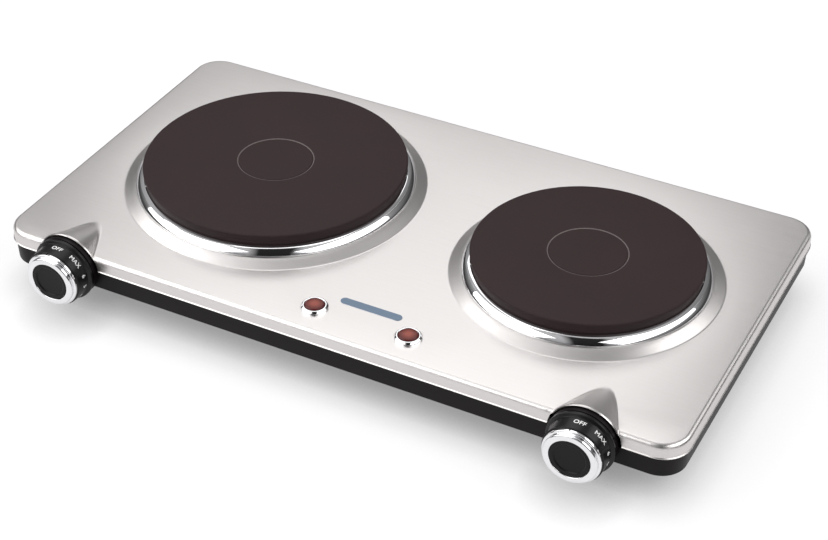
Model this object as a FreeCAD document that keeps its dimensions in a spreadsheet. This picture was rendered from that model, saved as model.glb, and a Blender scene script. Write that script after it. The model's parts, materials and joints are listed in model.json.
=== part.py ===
import FreeCAD
import Part
import Sketcher
import math
import os
import re

# Two-burner electric hot plate, in millimetres. X runs to the right, Y to the back and Z up.
# The origin is on the table, under the middle of the plan outline with the knobs included.

SIZES = {
    # Pressed steel top: a flat face, a tight bend, a flange that flares a little and an upright lip
    "top_width": 489.4,
    "top_depth": 264.6,
    "top_height": 48.0,
    "corner_radius": 19.0,
    "cover_sheet": 0.8,
    "bend_radius": 3.4,
    "flare_out": 0.4,
    "flare_drop": 8.6,
    "lip_drop": 1.6,
    # Burner places and the raised rims pressed round them
    "burner_y": 4.0,
    "left_plate_x": -108.9,
    "right_plate_x": 126.7,
    "rim_foot_gap": 13.4,
    "rim_crest_gap": 5.3,
    "rim_rise": 4.3,
    "ledge_reach": 6.5,
    # Cast iron plates
    "left_plate_radius": 92.5,
    "right_plate_radius": 77.5,
    "plate_rise": 18.2,
    "plate_thickness": 8.0,
    "plate_edge_round": 1.2,
    "plate_taper": 2.0,
    "plate_foot_width": 9.0,
    "centre_ring_radius": 26.0,
    "centre_ring_width": 1.2,
    "centre_ring_depth": 0.6,
    "boss_radius": 13.0,
    "boss_drop": 6.7,
    # Spill rings between the plates and the rims
    "trim_sheet": 0.8,
    "trim_rise": 9.8,
    "trim_lip": 1.4,
    "trim_gap": 0.25,
    "trim_foot": 1.3,
    "trim_bulge_radius": 8.5,
    "trim_inset": 1.0,
    # Heating elements, their cold pins and ceramic blocks
    "left_element_radius": 58.0,
    "right_element_radius": 46.0,
    "element_tube_radius": 3.0,
    "element_arc": 330.0,
    "element_gap": 0.1,
    "pin_radius": 2.0,
    "pin_drop": 17.0,
    "pin_clearance": 0.3,
    "block_width": 16.0,
    "block_height": 11.0,
    "block_margin": 7.0,
    "block_corner": 1.8,
    "channel_width": 5.4,
    "channel_depth": 2.7,
    # Reflectors under the plates
    "reflector_sheet": 0.6,
    "reflector_gap": 0.6,
    # Studs, nuts and clamp straps
    "stud_radius": 3.0,
    "stud_depth": 8.0,
    "stud_drop": 15.0,
    "thread_clearance": 0.1,
    "nut_radius": 5.8,
    "reflector_nut_height": 2.8,
    "clamp_nut_height": 4.5,
    "strap_width": 20.0,
    "strap_thickness": 2.0,
    "strap_gap": 1.0,
    "strap_seat": 8.0,
    "strap_slope": 9.0,
    # Knob places, humps in the steel and flat pads in the base wall
    "left_knob_inset": 54.2,
    "right_knob_inset": 61.2,
    "knob_axis_drop": 12.6,
    "notch_gap": 0.9,
    "hump_length": 33.5,
    "hump_tip_radius": 12.0,
    "hump_tip_sink": 0.15,
    "pad_out": 3.0,
    "pad_thickness": 5.5,
    "pad_margin": 0.4,
    "shaft_hole_radius": 5.0,
    # Knobs, measured forward from the pad face
    "knob_clearance": 0.6,
    "knob_flange_radius": 22.6,
    "knob_flange_thickness": 2.2,
    "knob_shoulder": 1.0,
    "band_rear_radius": 20.6,
    "band_front_radius": 20.2,
    "skirt_length": 15.4,
    "skirt_wall": 2.0,
    "hub_radius": 6.0,
    "hub_setback": 2.0,
    "ring_rear_radius": 19.2,
    "ring_front_radius": 17.7,
    "ring_round": 1.4,
    "ring_length": 3.5,
    "ring_bore": 13.5,
    "cap_clearance": 0.1,
    "cap_length": 3.0,
    "cap_rim": 2.6,
    "cap_dish": 0.7,
    # Regulators and their shafts
    "shaft_radius": 3.0,
    "shaft_flat": 2.0,
    "shaft_depth": 14.0,
    "shaft_end_gap": 0.5,
    "running_clearance": 0.05,
    "regulator_width": 22.0,
    "regulator_height": 14.0,
    "regulator_length": 25.0,
    "regulator_corner": 1.4,
    "regulator_flange_width": 35.0,
    "regulator_flange_thickness": 1.6,
    "regulator_flange_corner": 2.8,
    "regulator_screw_reach": 13.6,
    "regulator_screw_tail": 1.6,
    "regulator_tab_width": 6.3,
    "regulator_tab_length": 8.0,
    "regulator_tab_thickness": 0.8,
    "regulator_tab_reach": 6.0,
    "regulator_tab_offset": 3.5,
    "leaf_width": 8.0,
    "leaf_length": 20.0,
    "leaf_thickness": 0.8,
    "leaf_setback": 2.0,
    # Signal lamps
    "left_lamp_x": -13.5,
    "right_lamp_x": 54.0,
    "lamp_inset": 22.5,
    "bezel_radius": 9.0,
    "bezel_rise": 1.8,
    "bezel_round": 0.9,
    "bezel_bore": 6.7,
    "barrel_radius": 7.5,
    "barrel_drop": 12.0,
    "lamp_clearance": 0.15,
    "lens_rise": 3.2,
    "lens_shoulder": 1.2,
    "lens_depth": 3.0,
    "bulb_radius": 3.0,
    "bulb_length": 8.0,
    "bulb_holder": 2.0,
    "clip_radius": 11.0,
    "clip_thickness": 1.2,
    # Base pan: sloping wall, flat shelf and a deeper belly
    "base_drop": 25.6,
    "base_head_drop": 5.5,
    "base_foot_out": -1.6,
    "base_head_out": -0.8,
    "base_sheet": 1.0,
    "belly_inset": 20.9,
    "belly_draft": 3.0,
    "belly_depth": 6.4,
    "belly_corner": 14.0,
    "vent_length": 56.0,
    "vent_width": 4.0,
    "vent_pitch": 12.0,
    "vent_count": 9.0,
    # Posts and screws that join the base to the top
    "post_inset_x": 16.7,
    "post_inset_y": 13.8,
    "post_radius": 4.0,
    "screw_radius": 1.5,
    "base_screw_reach": 9.0,
    "screw_head_radius": 3.2,
    "screw_head_height": 2.0,
    "screw_clearance": 0.2,
    # Feet
    "foot_inset_x": 49.7,
    "foot_inset_y": 46.3,
    "foot_head_radius": 12.0,
    "foot_base_radius": 10.5,
    "foot_round": 1.0,
    "foot_recess_radius": 5.5,
    "foot_recess_depth": 7.0,
    "foot_screw_radius": 2.0,
    "foot_screw_head_radius": 4.2,
    "foot_screw_head": 2.6,
    "foot_screw_tail": 2.0,
    "foot_nut_radius": 4.1,
    "foot_nut_height": 3.2,
    # Supply terminals and the gland in the rear wall
    "mains_x": 0.0,
    "mains_inset": 54.3,
    "mains_width": 38.0,
    "mains_depth": 18.0,
    "mains_height": 14.0,
    "mains_corner": 2.2,
    "mains_pitch": 11.0,
    "mains_screw_radius": 2.2,
    "mains_screw_length": 5.0,
    "mains_well_depth": 10.0,
    "earth_x": 38.0,
    "earth_inset": 50.3,
    "earth_width": 6.3,
    "earth_length": 14.0,
    "earth_rise": 9.0,
    "earth_thickness": 0.8,
    "gland_x": 0.0,
    "gland_drop": 18.0,
    "gland_pad_radius": 7.5,
    "gland_pad_out": -1.6,
    "gland_pad_thickness": 2.4,
    "gland_radius": 6.4,
    "gland_waist": 4.8,
    "gland_bore": 3.6,
    "gland_lip": 2.0,
    "gland_round": 1.0,
    "gland_clearance": 0.1,
    # Leads between the supply, the regulators and the elements
    "lead_radius": 1.1,
    "lead_bend": 5.0,
    "supply_lead_height": 5.0,
    "supply_lead_run": 19.0,
    "supply_lead_climb": 28.0,
    "heater_lead_back": 18.0,
    "return_lead_height": 9.0,
    "return_lead_x": 3.0,
}

# Values that follow from the sizes above
DERIVED = {
    "bend_x": "top_width / 2",
    "bend_y": "top_depth / 2",
    "left_knob_x": "left_knob_inset - bend_x",
    "right_knob_x": "bend_x - right_knob_inset",
    "lamp_y": "lamp_inset - bend_y",
    "post_x": "bend_x - post_inset_x",
    "post_y": "bend_y - post_inset_y",
    "foot_x": "bend_x - foot_inset_x",
    "foot_y": "bend_y - foot_inset_y",
    "mains_y": "bend_y - mains_inset",
    "earth_y": "bend_y - earth_inset",
    "supply_lead_y": "mains_y - mains_depth / 2 - supply_lead_run",
    "knob_reach": "pad_out + skirt_length + ring_length",
    "mid_y": "(knob_reach - flare_out) / 2",
    "axis_z": "top_height - knob_axis_drop",
    "ledge_z": "top_height + rim_rise",
    "plate_foot_z": "ledge_z + trim_sheet",
    "plate_top_z": "top_height + plate_rise",
    "plate_under_z": "plate_top_z - plate_thickness",
    "boss_z": "plate_under_z - boss_drop",
    "strap_z": "boss_z - reflector_sheet - reflector_nut_height - strap_gap",
    "taper_at_trim": "plate_taper * (plate_rise - trim_rise) / (plate_rise - rim_rise - trim_sheet)",
    "hump_bore": "knob_flange_radius + notch_gap",
    "shelf_z": "top_height - base_drop",
    "belly_z": "shelf_z - belly_depth",
    "floor_z": "belly_z + base_sheet",
    "cover_under_z": "top_height - cover_sheet",
    "element_z": "plate_under_z - element_gap - element_tube_radius",
    "regulator_reach": "pad_thickness + regulator_flange_thickness + regulator_length",
    "tab_end_y": "regulator_reach + regulator_tab_length - bend_y - pad_out",
}

SIDES = ("left", "right")
PARTS = []

doc = FreeCAD.newDocument("hot_plate")
sheet = doc.addObject("Spreadsheet::Sheet", "Sizes")
for row, (alias, number) in enumerate(SIZES.items(), start=1):
    sheet.set(f"A{row}", alias)
    sheet.set(f"B{row}", str(number))
    sheet.setAlias(f"B{row}", alias)
doc.recompute()


def formula(text):
    """Turn plain size names in a formula into references to the sheet."""

    def refer(match):
        word = match.group()
        if word in DERIVED:
            return "(" + formula(DERIVED[word]) + ")"
        if word in SIZES:
            return "Sizes." + word
        return word

    return re.sub(r"[A-Za-z_]\w*", refer, str(text))


def value(text):
    """Work a formula out as a number."""
    return float(sheet.evalExpression(formula(text)))


def bind(thing, prop, text):
    """Tie one property of an object to a formula on the sheet."""
    thing.setExpression(prop, formula(text))


def place(thing, x="0", y="0", z="0", turn=None):
    """Put an object at formulas for x, y and z, after an optional turn."""
    thing.Placement = FreeCAD.Placement(FreeCAD.Vector(), turn or FreeCAD.Rotation())
    for axis, text in (("x", x), ("y", y), ("z", z)):
        bind(thing, f"Placement.Base.{axis}", text)


def finished(thing, label):
    """Name an object as a sub-part that gets a file of its own."""
    thing.Label = label
    PARTS.append(thing)
    return thing


FORWARD = FreeCAD.Rotation(FreeCAD.Vector(1, 0, 0), 90)
BACKWARD = FreeCAD.Rotation(FreeCAD.Vector(1, 0, 0), -90)


# Sketches and features


def new_body(label, x="0", y="0", z="0", turn=None):
    """Start a body for one sub-part."""
    body = doc.addObject("PartDesign::Body", label)
    place(body, x, y, z, turn)
    return finished(body, label)


def new_sketch(body, name, plane, away="0"):
    """Attach a sketch to an origin plane of its body, moved along that plane's axis."""
    sketch = body.newObject("Sketcher::SketchObject", name)
    support = [item for item in body.Origin.OriginFeatures if item.Role == plane + "_Plane"][0]
    sketch.AttachmentSupport = [(support, "")]
    sketch.MapMode = "FlatFace"
    sign = "-" if plane == "XZ" else ""
    bind(sketch, "AttachmentOffset.Base.z", f"{sign}({away})")
    return sketch


def fix_point(sketch, geometry, end, x, y):
    """Hold one point of a sketch at formulas for its two coordinates."""
    for kind, text in (("DistanceX", x), ("DistanceY", y)):
        index = sketch.addConstraint(Sketcher.Constraint(kind, -1, 1, geometry, end, value(text)))
        bind(sketch, f"Constraints[{index}]", text)


def draw_circle(sketch, x, y, radius):
    """Draw a circle with its centre and radius tied to formulas."""
    centre = FreeCAD.Vector(value(x), value(y), 0)
    ring = sketch.addGeometry(Part.Circle(centre, FreeCAD.Vector(0, 0, 1), value(radius)))
    fix_point(sketch, ring, 3, x, y)
    index = sketch.addConstraint(Sketcher.Constraint("Radius", ring, value(radius)))
    bind(sketch, f"Constraints[{index}]", radius)


def draw_outline(sketch, points):
    """Draw a closed outline.

    Each point is (x, y) for a straight run to it, or (x, y, centre x, centre y, turn) for an arc
    to it, with turn +1 counter-clockwise and -1 clockwise.
    """
    corners = [FreeCAD.Vector(value(point[0]), value(point[1]), 0) for point in points]
    runs = []
    for index, point in enumerate(points):
        start = corners[index - 1]
        end = corners[index]
        if len(point) == 2:
            runs.append((sketch.addGeometry(Part.LineSegment(start, end)), 1, 2))
            continue
        centre = FreeCAD.Vector(value(point[2]), value(point[3]), 0)
        first, last = (start, end) if point[4] > 0 else (end, start)
        angle_from = math.atan2(first.y - centre.y, first.x - centre.x)
        angle_to = math.atan2(last.y - centre.y, last.x - centre.x)
        if angle_to <= angle_from:
            angle_to += 2 * math.pi
        circle = Part.Circle(centre, FreeCAD.Vector(0, 0, 1), centre.distanceToPoint(start))
        arc = sketch.addGeometry(Part.ArcOfCircle(circle, angle_from, angle_to))
        runs.append((arc, 1, 2) if point[4] > 0 else (arc, 2, 1))
    for index, point in enumerate(points):
        geometry, _, tail = runs[index]
        following, head, _ = runs[(index + 1) % len(runs)]
        sketch.addConstraint(Sketcher.Constraint("Coincident", geometry, tail, following, head))
        fix_point(sketch, geometry, tail, point[0], point[1])
        if len(point) == 5:
            chord = corners[index] - corners[index - 1]
            upright = abs(chord.y) > abs(chord.x)
            kind, text = ("DistanceX", point[2]) if upright else ("DistanceY", point[3])
            number = sketch.addConstraint(Sketcher.Constraint(kind, -1, 1, geometry, 3, value(text)))
            bind(sketch, f"Constraints[{number}]", text)


def draw_rounded_box(sketch, width, depth, radius, x="0", y="0"):
    """Draw a rectangle with round corners about a centre."""
    right = f"{x} + ({width}) / 2"
    left = f"{x} - ({width}) / 2"
    back = f"{y} + ({depth}) / 2"
    front = f"{y} - ({depth}) / 2"
    draw_outline(
        sketch,
        [
            (f"{right} - ({radius})", front),
            (right, f"{front} + {radius}", f"{right} - ({radius})", f"{front} + {radius}", 1),
            (right, f"{back} - ({radius})"),
            (f"{right} - ({radius})", back, f"{right} - ({radius})", f"{back} - ({radius})", 1),
            (f"{left} + {radius}", back),
            (left, f"{back} - ({radius})", f"{left} + {radius}", f"{back} - ({radius})", 1),
            (left, f"{front} + {radius}"),
            (f"{left} + {radius}", front, f"{left} + {radius}", f"{front} + {radius}", 1),
        ],
    )


def pad(body, sketch, length, towards=1):
    """Raise a sketch along its plane's own axis, or against it."""
    feature = body.newObject("PartDesign::Pad", sketch.Name + "_pad")
    feature.Profile = sketch
    bind(feature, "Length", length)
    flipped = "XZ" in sketch.AttachmentSupport[0][0].Role
    feature.Reversed = (towards < 0) != flipped
    doc.recompute()
    return feature


def pocket(body, sketch, length, towards=1):
    """Cut a sketch along its plane's own axis, or against it, and make sure that it cut."""
    before = body.Shape.Volume
    feature = body.newObject("PartDesign::Pocket", sketch.Name + "_pocket")
    feature.Profile = sketch
    bind(feature, "Length", length)
    flipped = "XZ" in sketch.AttachmentSupport[0][0].Role
    feature.Reversed = (towards > 0) != flipped
    doc.recompute()
    if body.Shape.Volume >= before:
        raise RuntimeError(f"{feature.Name} cut nothing")
    return feature


def revolve(body, sketch, angle="360"):
    """Turn a sketch about its own upright axis."""
    feature = body.newObject("PartDesign::Revolution", sketch.Name + "_turn")
    feature.Profile = sketch
    feature.ReferenceAxis = (sketch, ["V_Axis"])
    bind(feature, "Angle", angle)
    doc.recompute()
    return feature


def loft(body, sketches, cut=False):
    """Join or cut the straight loft through a row of sketches."""
    kind = "PartDesign::SubtractiveLoft" if cut else "PartDesign::AdditiveLoft"
    feature = body.newObject(kind, sketches[0].Name + "_loft")
    feature.Profile = sketches[0]
    feature.Sections = sketches[1:]
    feature.Ruled = True
    doc.recompute()
    return feature


def round_edges(body, radius, wanted):
    """Fillet the edges of a body's last feature that pass a test."""
    base = body.Tip
    names = [f"Edge{number}" for number, edge in enumerate(base.Shape.Edges, start=1) if wanted(edge)]
    feature = body.newObject("PartDesign::Fillet", base.Name + "_round")
    feature.Base = (base, names)
    bind(feature, "Radius", radius)
    doc.recompute()
    return feature


def lies_at_height(edge, text):
    """Tell whether an edge lies flat at a height given by a formula."""
    box = edge.BoundBox
    height = value(text)
    return abs(box.ZMin - height) < 1e-4 and abs(box.ZMax - height) < 1e-4


# Part primitives


def cylinder(name, radius, height, x="0", y="0", z="0", turn=None):
    """Make a round bar whose base centre is at x, y, z."""
    bar = doc.addObject("Part::Cylinder", name)
    bind(bar, "Radius", radius)
    bind(bar, "Height", height)
    place(bar, x, y, z, turn)
    return bar


def hexagon(name, radius, height, x, y, z):
    """Make a six-sided bar, sized across its corners."""
    bar = doc.addObject("Part::Prism", name)
    bar.Polygon = 6
    bind(bar, "Circumradius", radius)
    bind(bar, "Height", height)
    place(bar, x, y, z)
    return bar


def combine(kind, name, base, tool):
    """Join, cut or intersect two objects."""
    result = doc.addObject("Part::" + kind, name)
    result.Base = base
    result.Tool = tool
    return result


def screw(name, shank, length, head, head_height, x, y, z, turn=None):
    """Make a pan head screw that stands on its head's upper face at x, y, z and points up."""
    stem = cylinder(name + "_shank", shank, f"{length} + {head_height}", z=f"-({head_height})")
    top = cylinder(name + "_head", head, head_height, z=f"-({head_height})")
    joined = combine("Fuse", name, stem, top)
    place(joined, x, y, z, turn)
    return joined


def group(label, solids):
    """Collect identical separate pieces in one node."""
    bundle = doc.addObject("Part::Compound", label)
    bundle.Links = solids
    return finished(bundle, label)


# Steel top


def draw_hump(sketch, side, radius, centre_z, chord_z):
    """Draw the part of a circle above a level chord, seen from the front."""
    x = f"{side}_knob_x"
    reach = f"sqrt(({radius})^2 - ({chord_z} - ({centre_z}))^2)"
    draw_outline(
        sketch,
        [
            (f"{x} + {reach}", chord_z),
            (f"{x} - {reach}", chord_z, x, centre_z, 1),
        ],
    )


def make_top_cover():
    """Press the steel top: flared edge, burner rims with their ledges, knob humps and lamp holes."""
    cover = new_body("top_cover", y="mid_y")
    crown = new_sketch(cover, "crown", "XY", "top_height")
    draw_rounded_box(crown, "top_width", "top_depth", "corner_radius")
    flare = new_sketch(cover, "flare_edge", "XY", "top_height - flare_drop")
    draw_rounded_box(
        flare, "top_width + 2 * flare_out", "top_depth + 2 * flare_out", "(corner_radius + flare_out)"
    )
    loft(cover, [flare, crown])
    lip = new_sketch(cover, "lip_edge", "XY", "top_height - flare_drop")
    draw_rounded_box(
        lip, "top_width + 2 * flare_out", "top_depth + 2 * flare_out", "(corner_radius + flare_out)"
    )
    pad(cover, lip, "lip_drop", -1)
    round_edges(cover, "bend_radius", lambda edge: lies_at_height(edge, "top_height"))

    solid = cover.Tip
    faces = enumerate(solid.Shape.Faces, start=1)
    lowest = min(faces, key=lambda item: item[1].CenterOfMass.z)[0]
    shell = cover.newObject("PartDesign::Thickness", "sheet")
    shell.Base = (solid, [f"Face{lowest}"])
    shell.Reversed = True
    bind(shell, "Value", "cover_sheet")
    doc.recompute()

    for side in SIDES:
        add_burner_rim(cover, side)
    for side in SIDES:
        add_knob_hump(cover, side)
    holes = new_sketch(cover, "lamp_holes", "XY", "top_height")
    for side in SIDES:
        draw_circle(holes, f"{side}_lamp_x", "lamp_y", "barrel_radius + lamp_clearance")
    pocket(cover, holes, "2 * cover_sheet", -1)


def add_burner_rim(cover, side):
    """Open the top for one burner and raise the conical rim with its inner ledge."""
    x = f"{side}_plate_x"
    foot = f"{side}_plate_radius + rim_foot_gap"
    crest = f"{side}_plate_radius + rim_crest_gap"
    ledge = f"{side}_plate_radius - ledge_reach"
    opening = new_sketch(cover, side + "_opening", "XY", "top_height")
    draw_circle(opening, x, "burner_y", f"{foot} - cover_sheet / 2")
    pocket(cover, opening, "2 * cover_sheet", -1)

    slope = "sqrt((rim_foot_gap - rim_crest_gap)^2 + rim_rise^2)"
    shift = f"cover_sheet * ({slope} - (rim_foot_gap - rim_crest_gap)) / rim_rise"
    rim = new_sketch(cover, side + "_rim", "XZ", "burner_y")
    bind(rim, "AttachmentOffset.Base.x", x)
    draw_outline(
        rim,
        [
            (foot, "top_height"),
            (crest, "ledge_z"),
            (ledge, "ledge_z"),
            (ledge, "ledge_z - cover_sheet"),
            (f"{crest} - {shift}", "ledge_z - cover_sheet"),
            (f"{foot} - {shift}", "cover_under_z"),
            (foot, "cover_under_z"),
        ],
    )
    revolve(cover, rim)


def add_knob_hump(cover, side):
    """Raise a hump over one knob and notch the flange in front of it."""
    x = f"{side}_knob_x"
    outer = "hump_bore + cover_sheet"
    chord_z = "cover_under_z - bend_radius"
    tip_z = "top_height - hump_tip_radius - hump_tip_sink"
    front = new_sketch(cover, side + "_hump_front", "XZ", "-(bend_y)")
    draw_hump(front, side, outer, "axis_z", chord_z)
    tip = new_sketch(cover, side + "_hump_tip", "XZ", "-(bend_y) + hump_length")
    draw_hump(tip, side, "hump_tip_radius", tip_z, chord_z)
    loft(cover, [front, tip])

    hollow = new_sketch(cover, side + "_hollow_front", "XZ", "-(bend_y)")
    draw_hump(hollow, side, "hump_bore", "axis_z", f"{chord_z} - cover_sheet")
    end = new_sketch(cover, side + "_hollow_tip", "XZ", "-(bend_y) + hump_length")
    draw_hump(end, side, "hump_tip_radius - cover_sheet", tip_z, f"{chord_z} - cover_sheet")
    loft(cover, [hollow, end], cut=True)

    notch = new_sketch(cover, side + "_notch", "XZ", "-(bend_y)")
    draw_circle(notch, x, "axis_z", "hump_bore")
    pocket(cover, notch, "bend_radius", -1)
    reach = f"sqrt(hump_bore^2 - ({chord_z} - axis_z)^2)"
    mouth = new_sketch(cover, side + "_mouth", "XZ", "-(bend_y)")
    draw_outline(mouth, [(f"{x} - {reach}", chord_z), (f"{x} + {reach}", chord_z, x, "axis_z", 1)])
    pocket(cover, mouth, "2 * cover_sheet")


# Base


def make_base_pan():
    """Press the base: sloping wall, shelf, belly, flat pads for knobs and gland, vents and holes."""
    base = new_body("base_pan", y="mid_y")

    def level(name, height, out, corner):
        sketch = new_sketch(base, name, "XY", height)
        draw_rounded_box(sketch, f"top_width + 2 * ({out})", f"top_depth + 2 * ({out})", f"({corner})")
        return sketch

    head_z = "top_height - base_head_drop"
    belly_out = "base_foot_out - belly_inset"
    loft(
        base,
        [
            level("wall_foot", "shelf_z", "base_foot_out", "corner_radius + base_foot_out"),
            level("wall_head", head_z, "base_head_out", "corner_radius + base_head_out"),
        ],
    )
    loft(
        base,
        [
            level("belly_head", "shelf_z", belly_out, "belly_corner"),
            level("belly_foot", "belly_z", f"{belly_out} - belly_draft", "belly_corner - belly_draft"),
        ],
    )
    well_out = f"{belly_out} - base_sheet"
    well_corner = "belly_corner - base_sheet"
    inner_foot = "base_foot_out - base_sheet"
    inner_head = "base_head_out - base_sheet"
    loft(
        base,
        [
            level("room_foot", "shelf_z + base_sheet", inner_foot, f"corner_radius + {inner_foot}"),
            level("room_head", head_z, inner_head, f"corner_radius + {inner_head}"),
        ],
        cut=True,
    )
    loft(
        base,
        [
            level("well_head", "shelf_z + base_sheet", well_out, well_corner),
            level("well_foot", "floor_z", f"{well_out} - belly_draft", f"{well_corner} - belly_draft"),
        ],
        cut=True,
    )
    for side in SIDES:
        add_knob_pad(base, side)
    add_gland_pad(base)
    add_base_holes(base)


def add_knob_pad(base, side):
    """Set a flat round pad in the front wall behind one knob, with the regulator's holes."""
    x = f"{side}_knob_x"
    face_y = "-(bend_y) - pad_out"
    radius = "(knob_flange_radius - pad_margin)"
    reach = f"sqrt({radius}^2 - (axis_z - shelf_z)^2)"
    disc = new_sketch(base, side + "_pad", "XZ", face_y)
    draw_outline(disc, [(f"{x} + {reach}", "shelf_z"), (f"{x} - {reach}", "shelf_z", x, "axis_z", 1)])
    pad(base, disc, "pad_thickness")
    holes = new_sketch(base, side + "_pad_holes", "XZ", face_y)
    draw_circle(holes, x, "axis_z", "shaft_hole_radius")
    for sign in ("+", "-"):
        place_x = f"{x} {sign} regulator_screw_reach"
        draw_circle(holes, place_x, "axis_z", "screw_radius + screw_clearance")
    pocket(base, holes, "2 * pad_thickness")


def add_gland_pad(base):
    """Set a flat round pad with a hole in the rear wall, for the supply cord's gland."""
    face_y = "bend_y + gland_pad_out"
    centre_z = "top_height - gland_drop"
    disc = new_sketch(base, "gland_pad", "XZ", face_y)
    reach = "sqrt(gland_pad_radius^2 - (gland_pad_radius - base_sheet)^2)"
    chord_z = f"{centre_z} - gland_pad_radius + base_sheet"
    draw_outline(
        disc,
        [(f"gland_x + {reach}", chord_z), (f"gland_x - {reach}", chord_z, "gland_x", centre_z, 1)],
    )
    pad(base, disc, "gland_pad_thickness", -1)
    clear = new_sketch(base, "gland_face", "XZ", face_y)
    draw_circle(clear, "gland_x", centre_z, "gland_pad_radius")
    pocket(base, clear, "2 * gland_lip")
    hole = new_sketch(base, "gland_hole", "XZ", face_y)
    draw_circle(hole, "gland_x", centre_z, "gland_waist + gland_clearance")
    pocket(base, hole, "2 * gland_pad_thickness", -1)


def add_base_holes(base):
    """Pierce the shelf and floor for screws, and the floor for air under each burner."""
    holes = new_sketch(base, "shelf_holes", "XY", "shelf_z")
    for x in ("post_x", "-post_x"):
        for y in ("post_y", "-post_y"):
            draw_circle(holes, x, y, "screw_radius + screw_clearance")
    pocket(base, holes, "2 * base_sheet")
    holes = new_sketch(base, "foot_holes", "XY", "belly_z")
    for x in ("foot_x", "-foot_x"):
        for y in ("foot_y", "-foot_y"):
            draw_circle(holes, x, y, "foot_screw_radius + screw_clearance")
    pocket(base, holes, "2 * base_sheet")
    for side in SIDES:
        slot = new_sketch(base, side + "_vent", "XY", "belly_z")
        run = "(vent_length - vent_width) / 2"
        x = f"{side}_plate_x"
        y = "burner_y - vent_pitch * (vent_count - 1) / 2"
        low = f"{y} - vent_width / 2"
        high = f"{y} + vent_width / 2"
        draw_outline(
            slot,
            [
                (f"{x} + {run}", low),
                (f"{x} + {run}", high, f"{x} + {run}", y, 1),
                (f"{x} - {run}", high),
                (f"{x} - {run}", low, f"{x} - {run}", y, 1),
            ],
        )
        first = pocket(base, slot, "2 * base_sheet")
        rows = base.newObject("PartDesign::LinearPattern", side + "_vents")
        rows.Originals = [first]
        rows.Direction = (slot, ["V_Axis"])
        bind(rows, "Length", "vent_pitch * (vent_count - 1)")
        bind(rows, "Occurrences", "vent_count")
        base.Tip = rows
        doc.recompute()


# Burners


def burner_body(label, side):
    """Start a body on the axis of one burner."""
    return new_body(label, f"{side}_plate_x", "mid_y + burner_y")


def make_plate(side):
    """Turn the cast iron plate: flat top with a ring groove, tapered side, foot ring and centre boss."""
    plate = burner_body(side + "_plate", side)
    radius = f"{side}_plate_radius"
    groove_in = "centre_ring_radius - centre_ring_width / 2"
    groove_out = "centre_ring_radius + centre_ring_width / 2"
    groove_z = "plate_top_z - centre_ring_depth"
    foot_out = f"{radius} - plate_taper"
    foot_in = f"{radius} - plate_taper - plate_foot_width"
    bore = "stud_radius + thread_clearance"
    round_x = f"{radius} - plate_edge_round"
    round_z = "plate_top_z - plate_edge_round"
    profile = new_sketch(plate, side + "_plate_section", "XZ")
    draw_outline(
        profile,
        [
            ("0", "plate_top_z"),
            ("0", "boss_z + stud_depth"),
            (bore, "boss_z + stud_depth"),
            (bore, "boss_z"),
            ("boss_radius", "boss_z"),
            ("boss_radius", "plate_under_z"),
            (foot_in, "plate_under_z"),
            (foot_in, "plate_foot_z"),
            (foot_out, "plate_foot_z"),
            (radius, round_z),
            (round_x, "plate_top_z", round_x, round_z, 1),
            (groove_out, "plate_top_z"),
            (groove_out, groove_z),
            (groove_in, groove_z),
            (groove_in, "plate_top_z"),
        ],
    )
    revolve(plate, profile)


def make_trim_ring(side):
    """Roll the bright spill ring: a flange on the ledge, a convex band and a lip at the plate's side."""
    ring = burner_body(side + "_trim_ring", side)
    radius = f"{side}_plate_radius"
    lip_in = f"{radius} - taper_at_trim + trim_gap"
    lip_out = f"{lip_in} + trim_lip"
    foot_out = f"{radius} + rim_crest_gap"
    flange_in = f"{radius} - ledge_reach + trim_inset"
    lip_z = "top_height + trim_rise"
    foot_z = "ledge_z + trim_foot"
    # The band's arc passes through the lip's outer edge and the top of the foot
    across = f"({foot_out} - ({lip_out}))"
    rise = f"({lip_z} - ({foot_z}))"
    chord = f"sqrt({across}^2 + {rise}^2)"
    back = f"sqrt(trim_bulge_radius^2 - ({chord} / 2)^2)"
    centre_x = f"({foot_out} + {lip_out}) / 2 - {back} * {rise} / {chord}"
    centre_z = f"({lip_z} + {foot_z}) / 2 - {back} * {across} / {chord}"
    inner = "(trim_bulge_radius - trim_sheet)"
    inner_lip_x = f"{centre_x} + sqrt({inner}^2 - ({lip_z} - trim_sheet - ({centre_z}))^2)"
    inner_foot_z = f"{centre_z} + sqrt({inner}^2 - ({foot_out} - trim_sheet - ({centre_x}))^2)"
    profile = new_sketch(ring, side + "_trim_section", "XZ")
    draw_outline(
        profile,
        [
            (lip_in, lip_z),
            (lip_in, f"{lip_z} - trim_sheet"),
            (inner_lip_x, f"{lip_z} - trim_sheet"),
            (f"{foot_out} - trim_sheet", inner_foot_z, centre_x, centre_z, -1),
            (f"{foot_out} - trim_sheet", "plate_foot_z"),
            (flange_in, "plate_foot_z"),
            (flange_in, "ledge_z"),
            (foot_out, "ledge_z"),
            (foot_out, foot_z),
            (lip_out, lip_z, centre_x, centre_z, 1),
        ],
    )
    revolve(ring, profile)


def element_turn(side):
    """Turn the element so that its open ends face the middle of the appliance."""
    half_gap = (360 - value("element_arc")) / 2
    facing = 0 if side == "left" else 180
    return FreeCAD.Rotation(FreeCAD.Vector(0, 0, 1), facing + half_gap)


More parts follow.
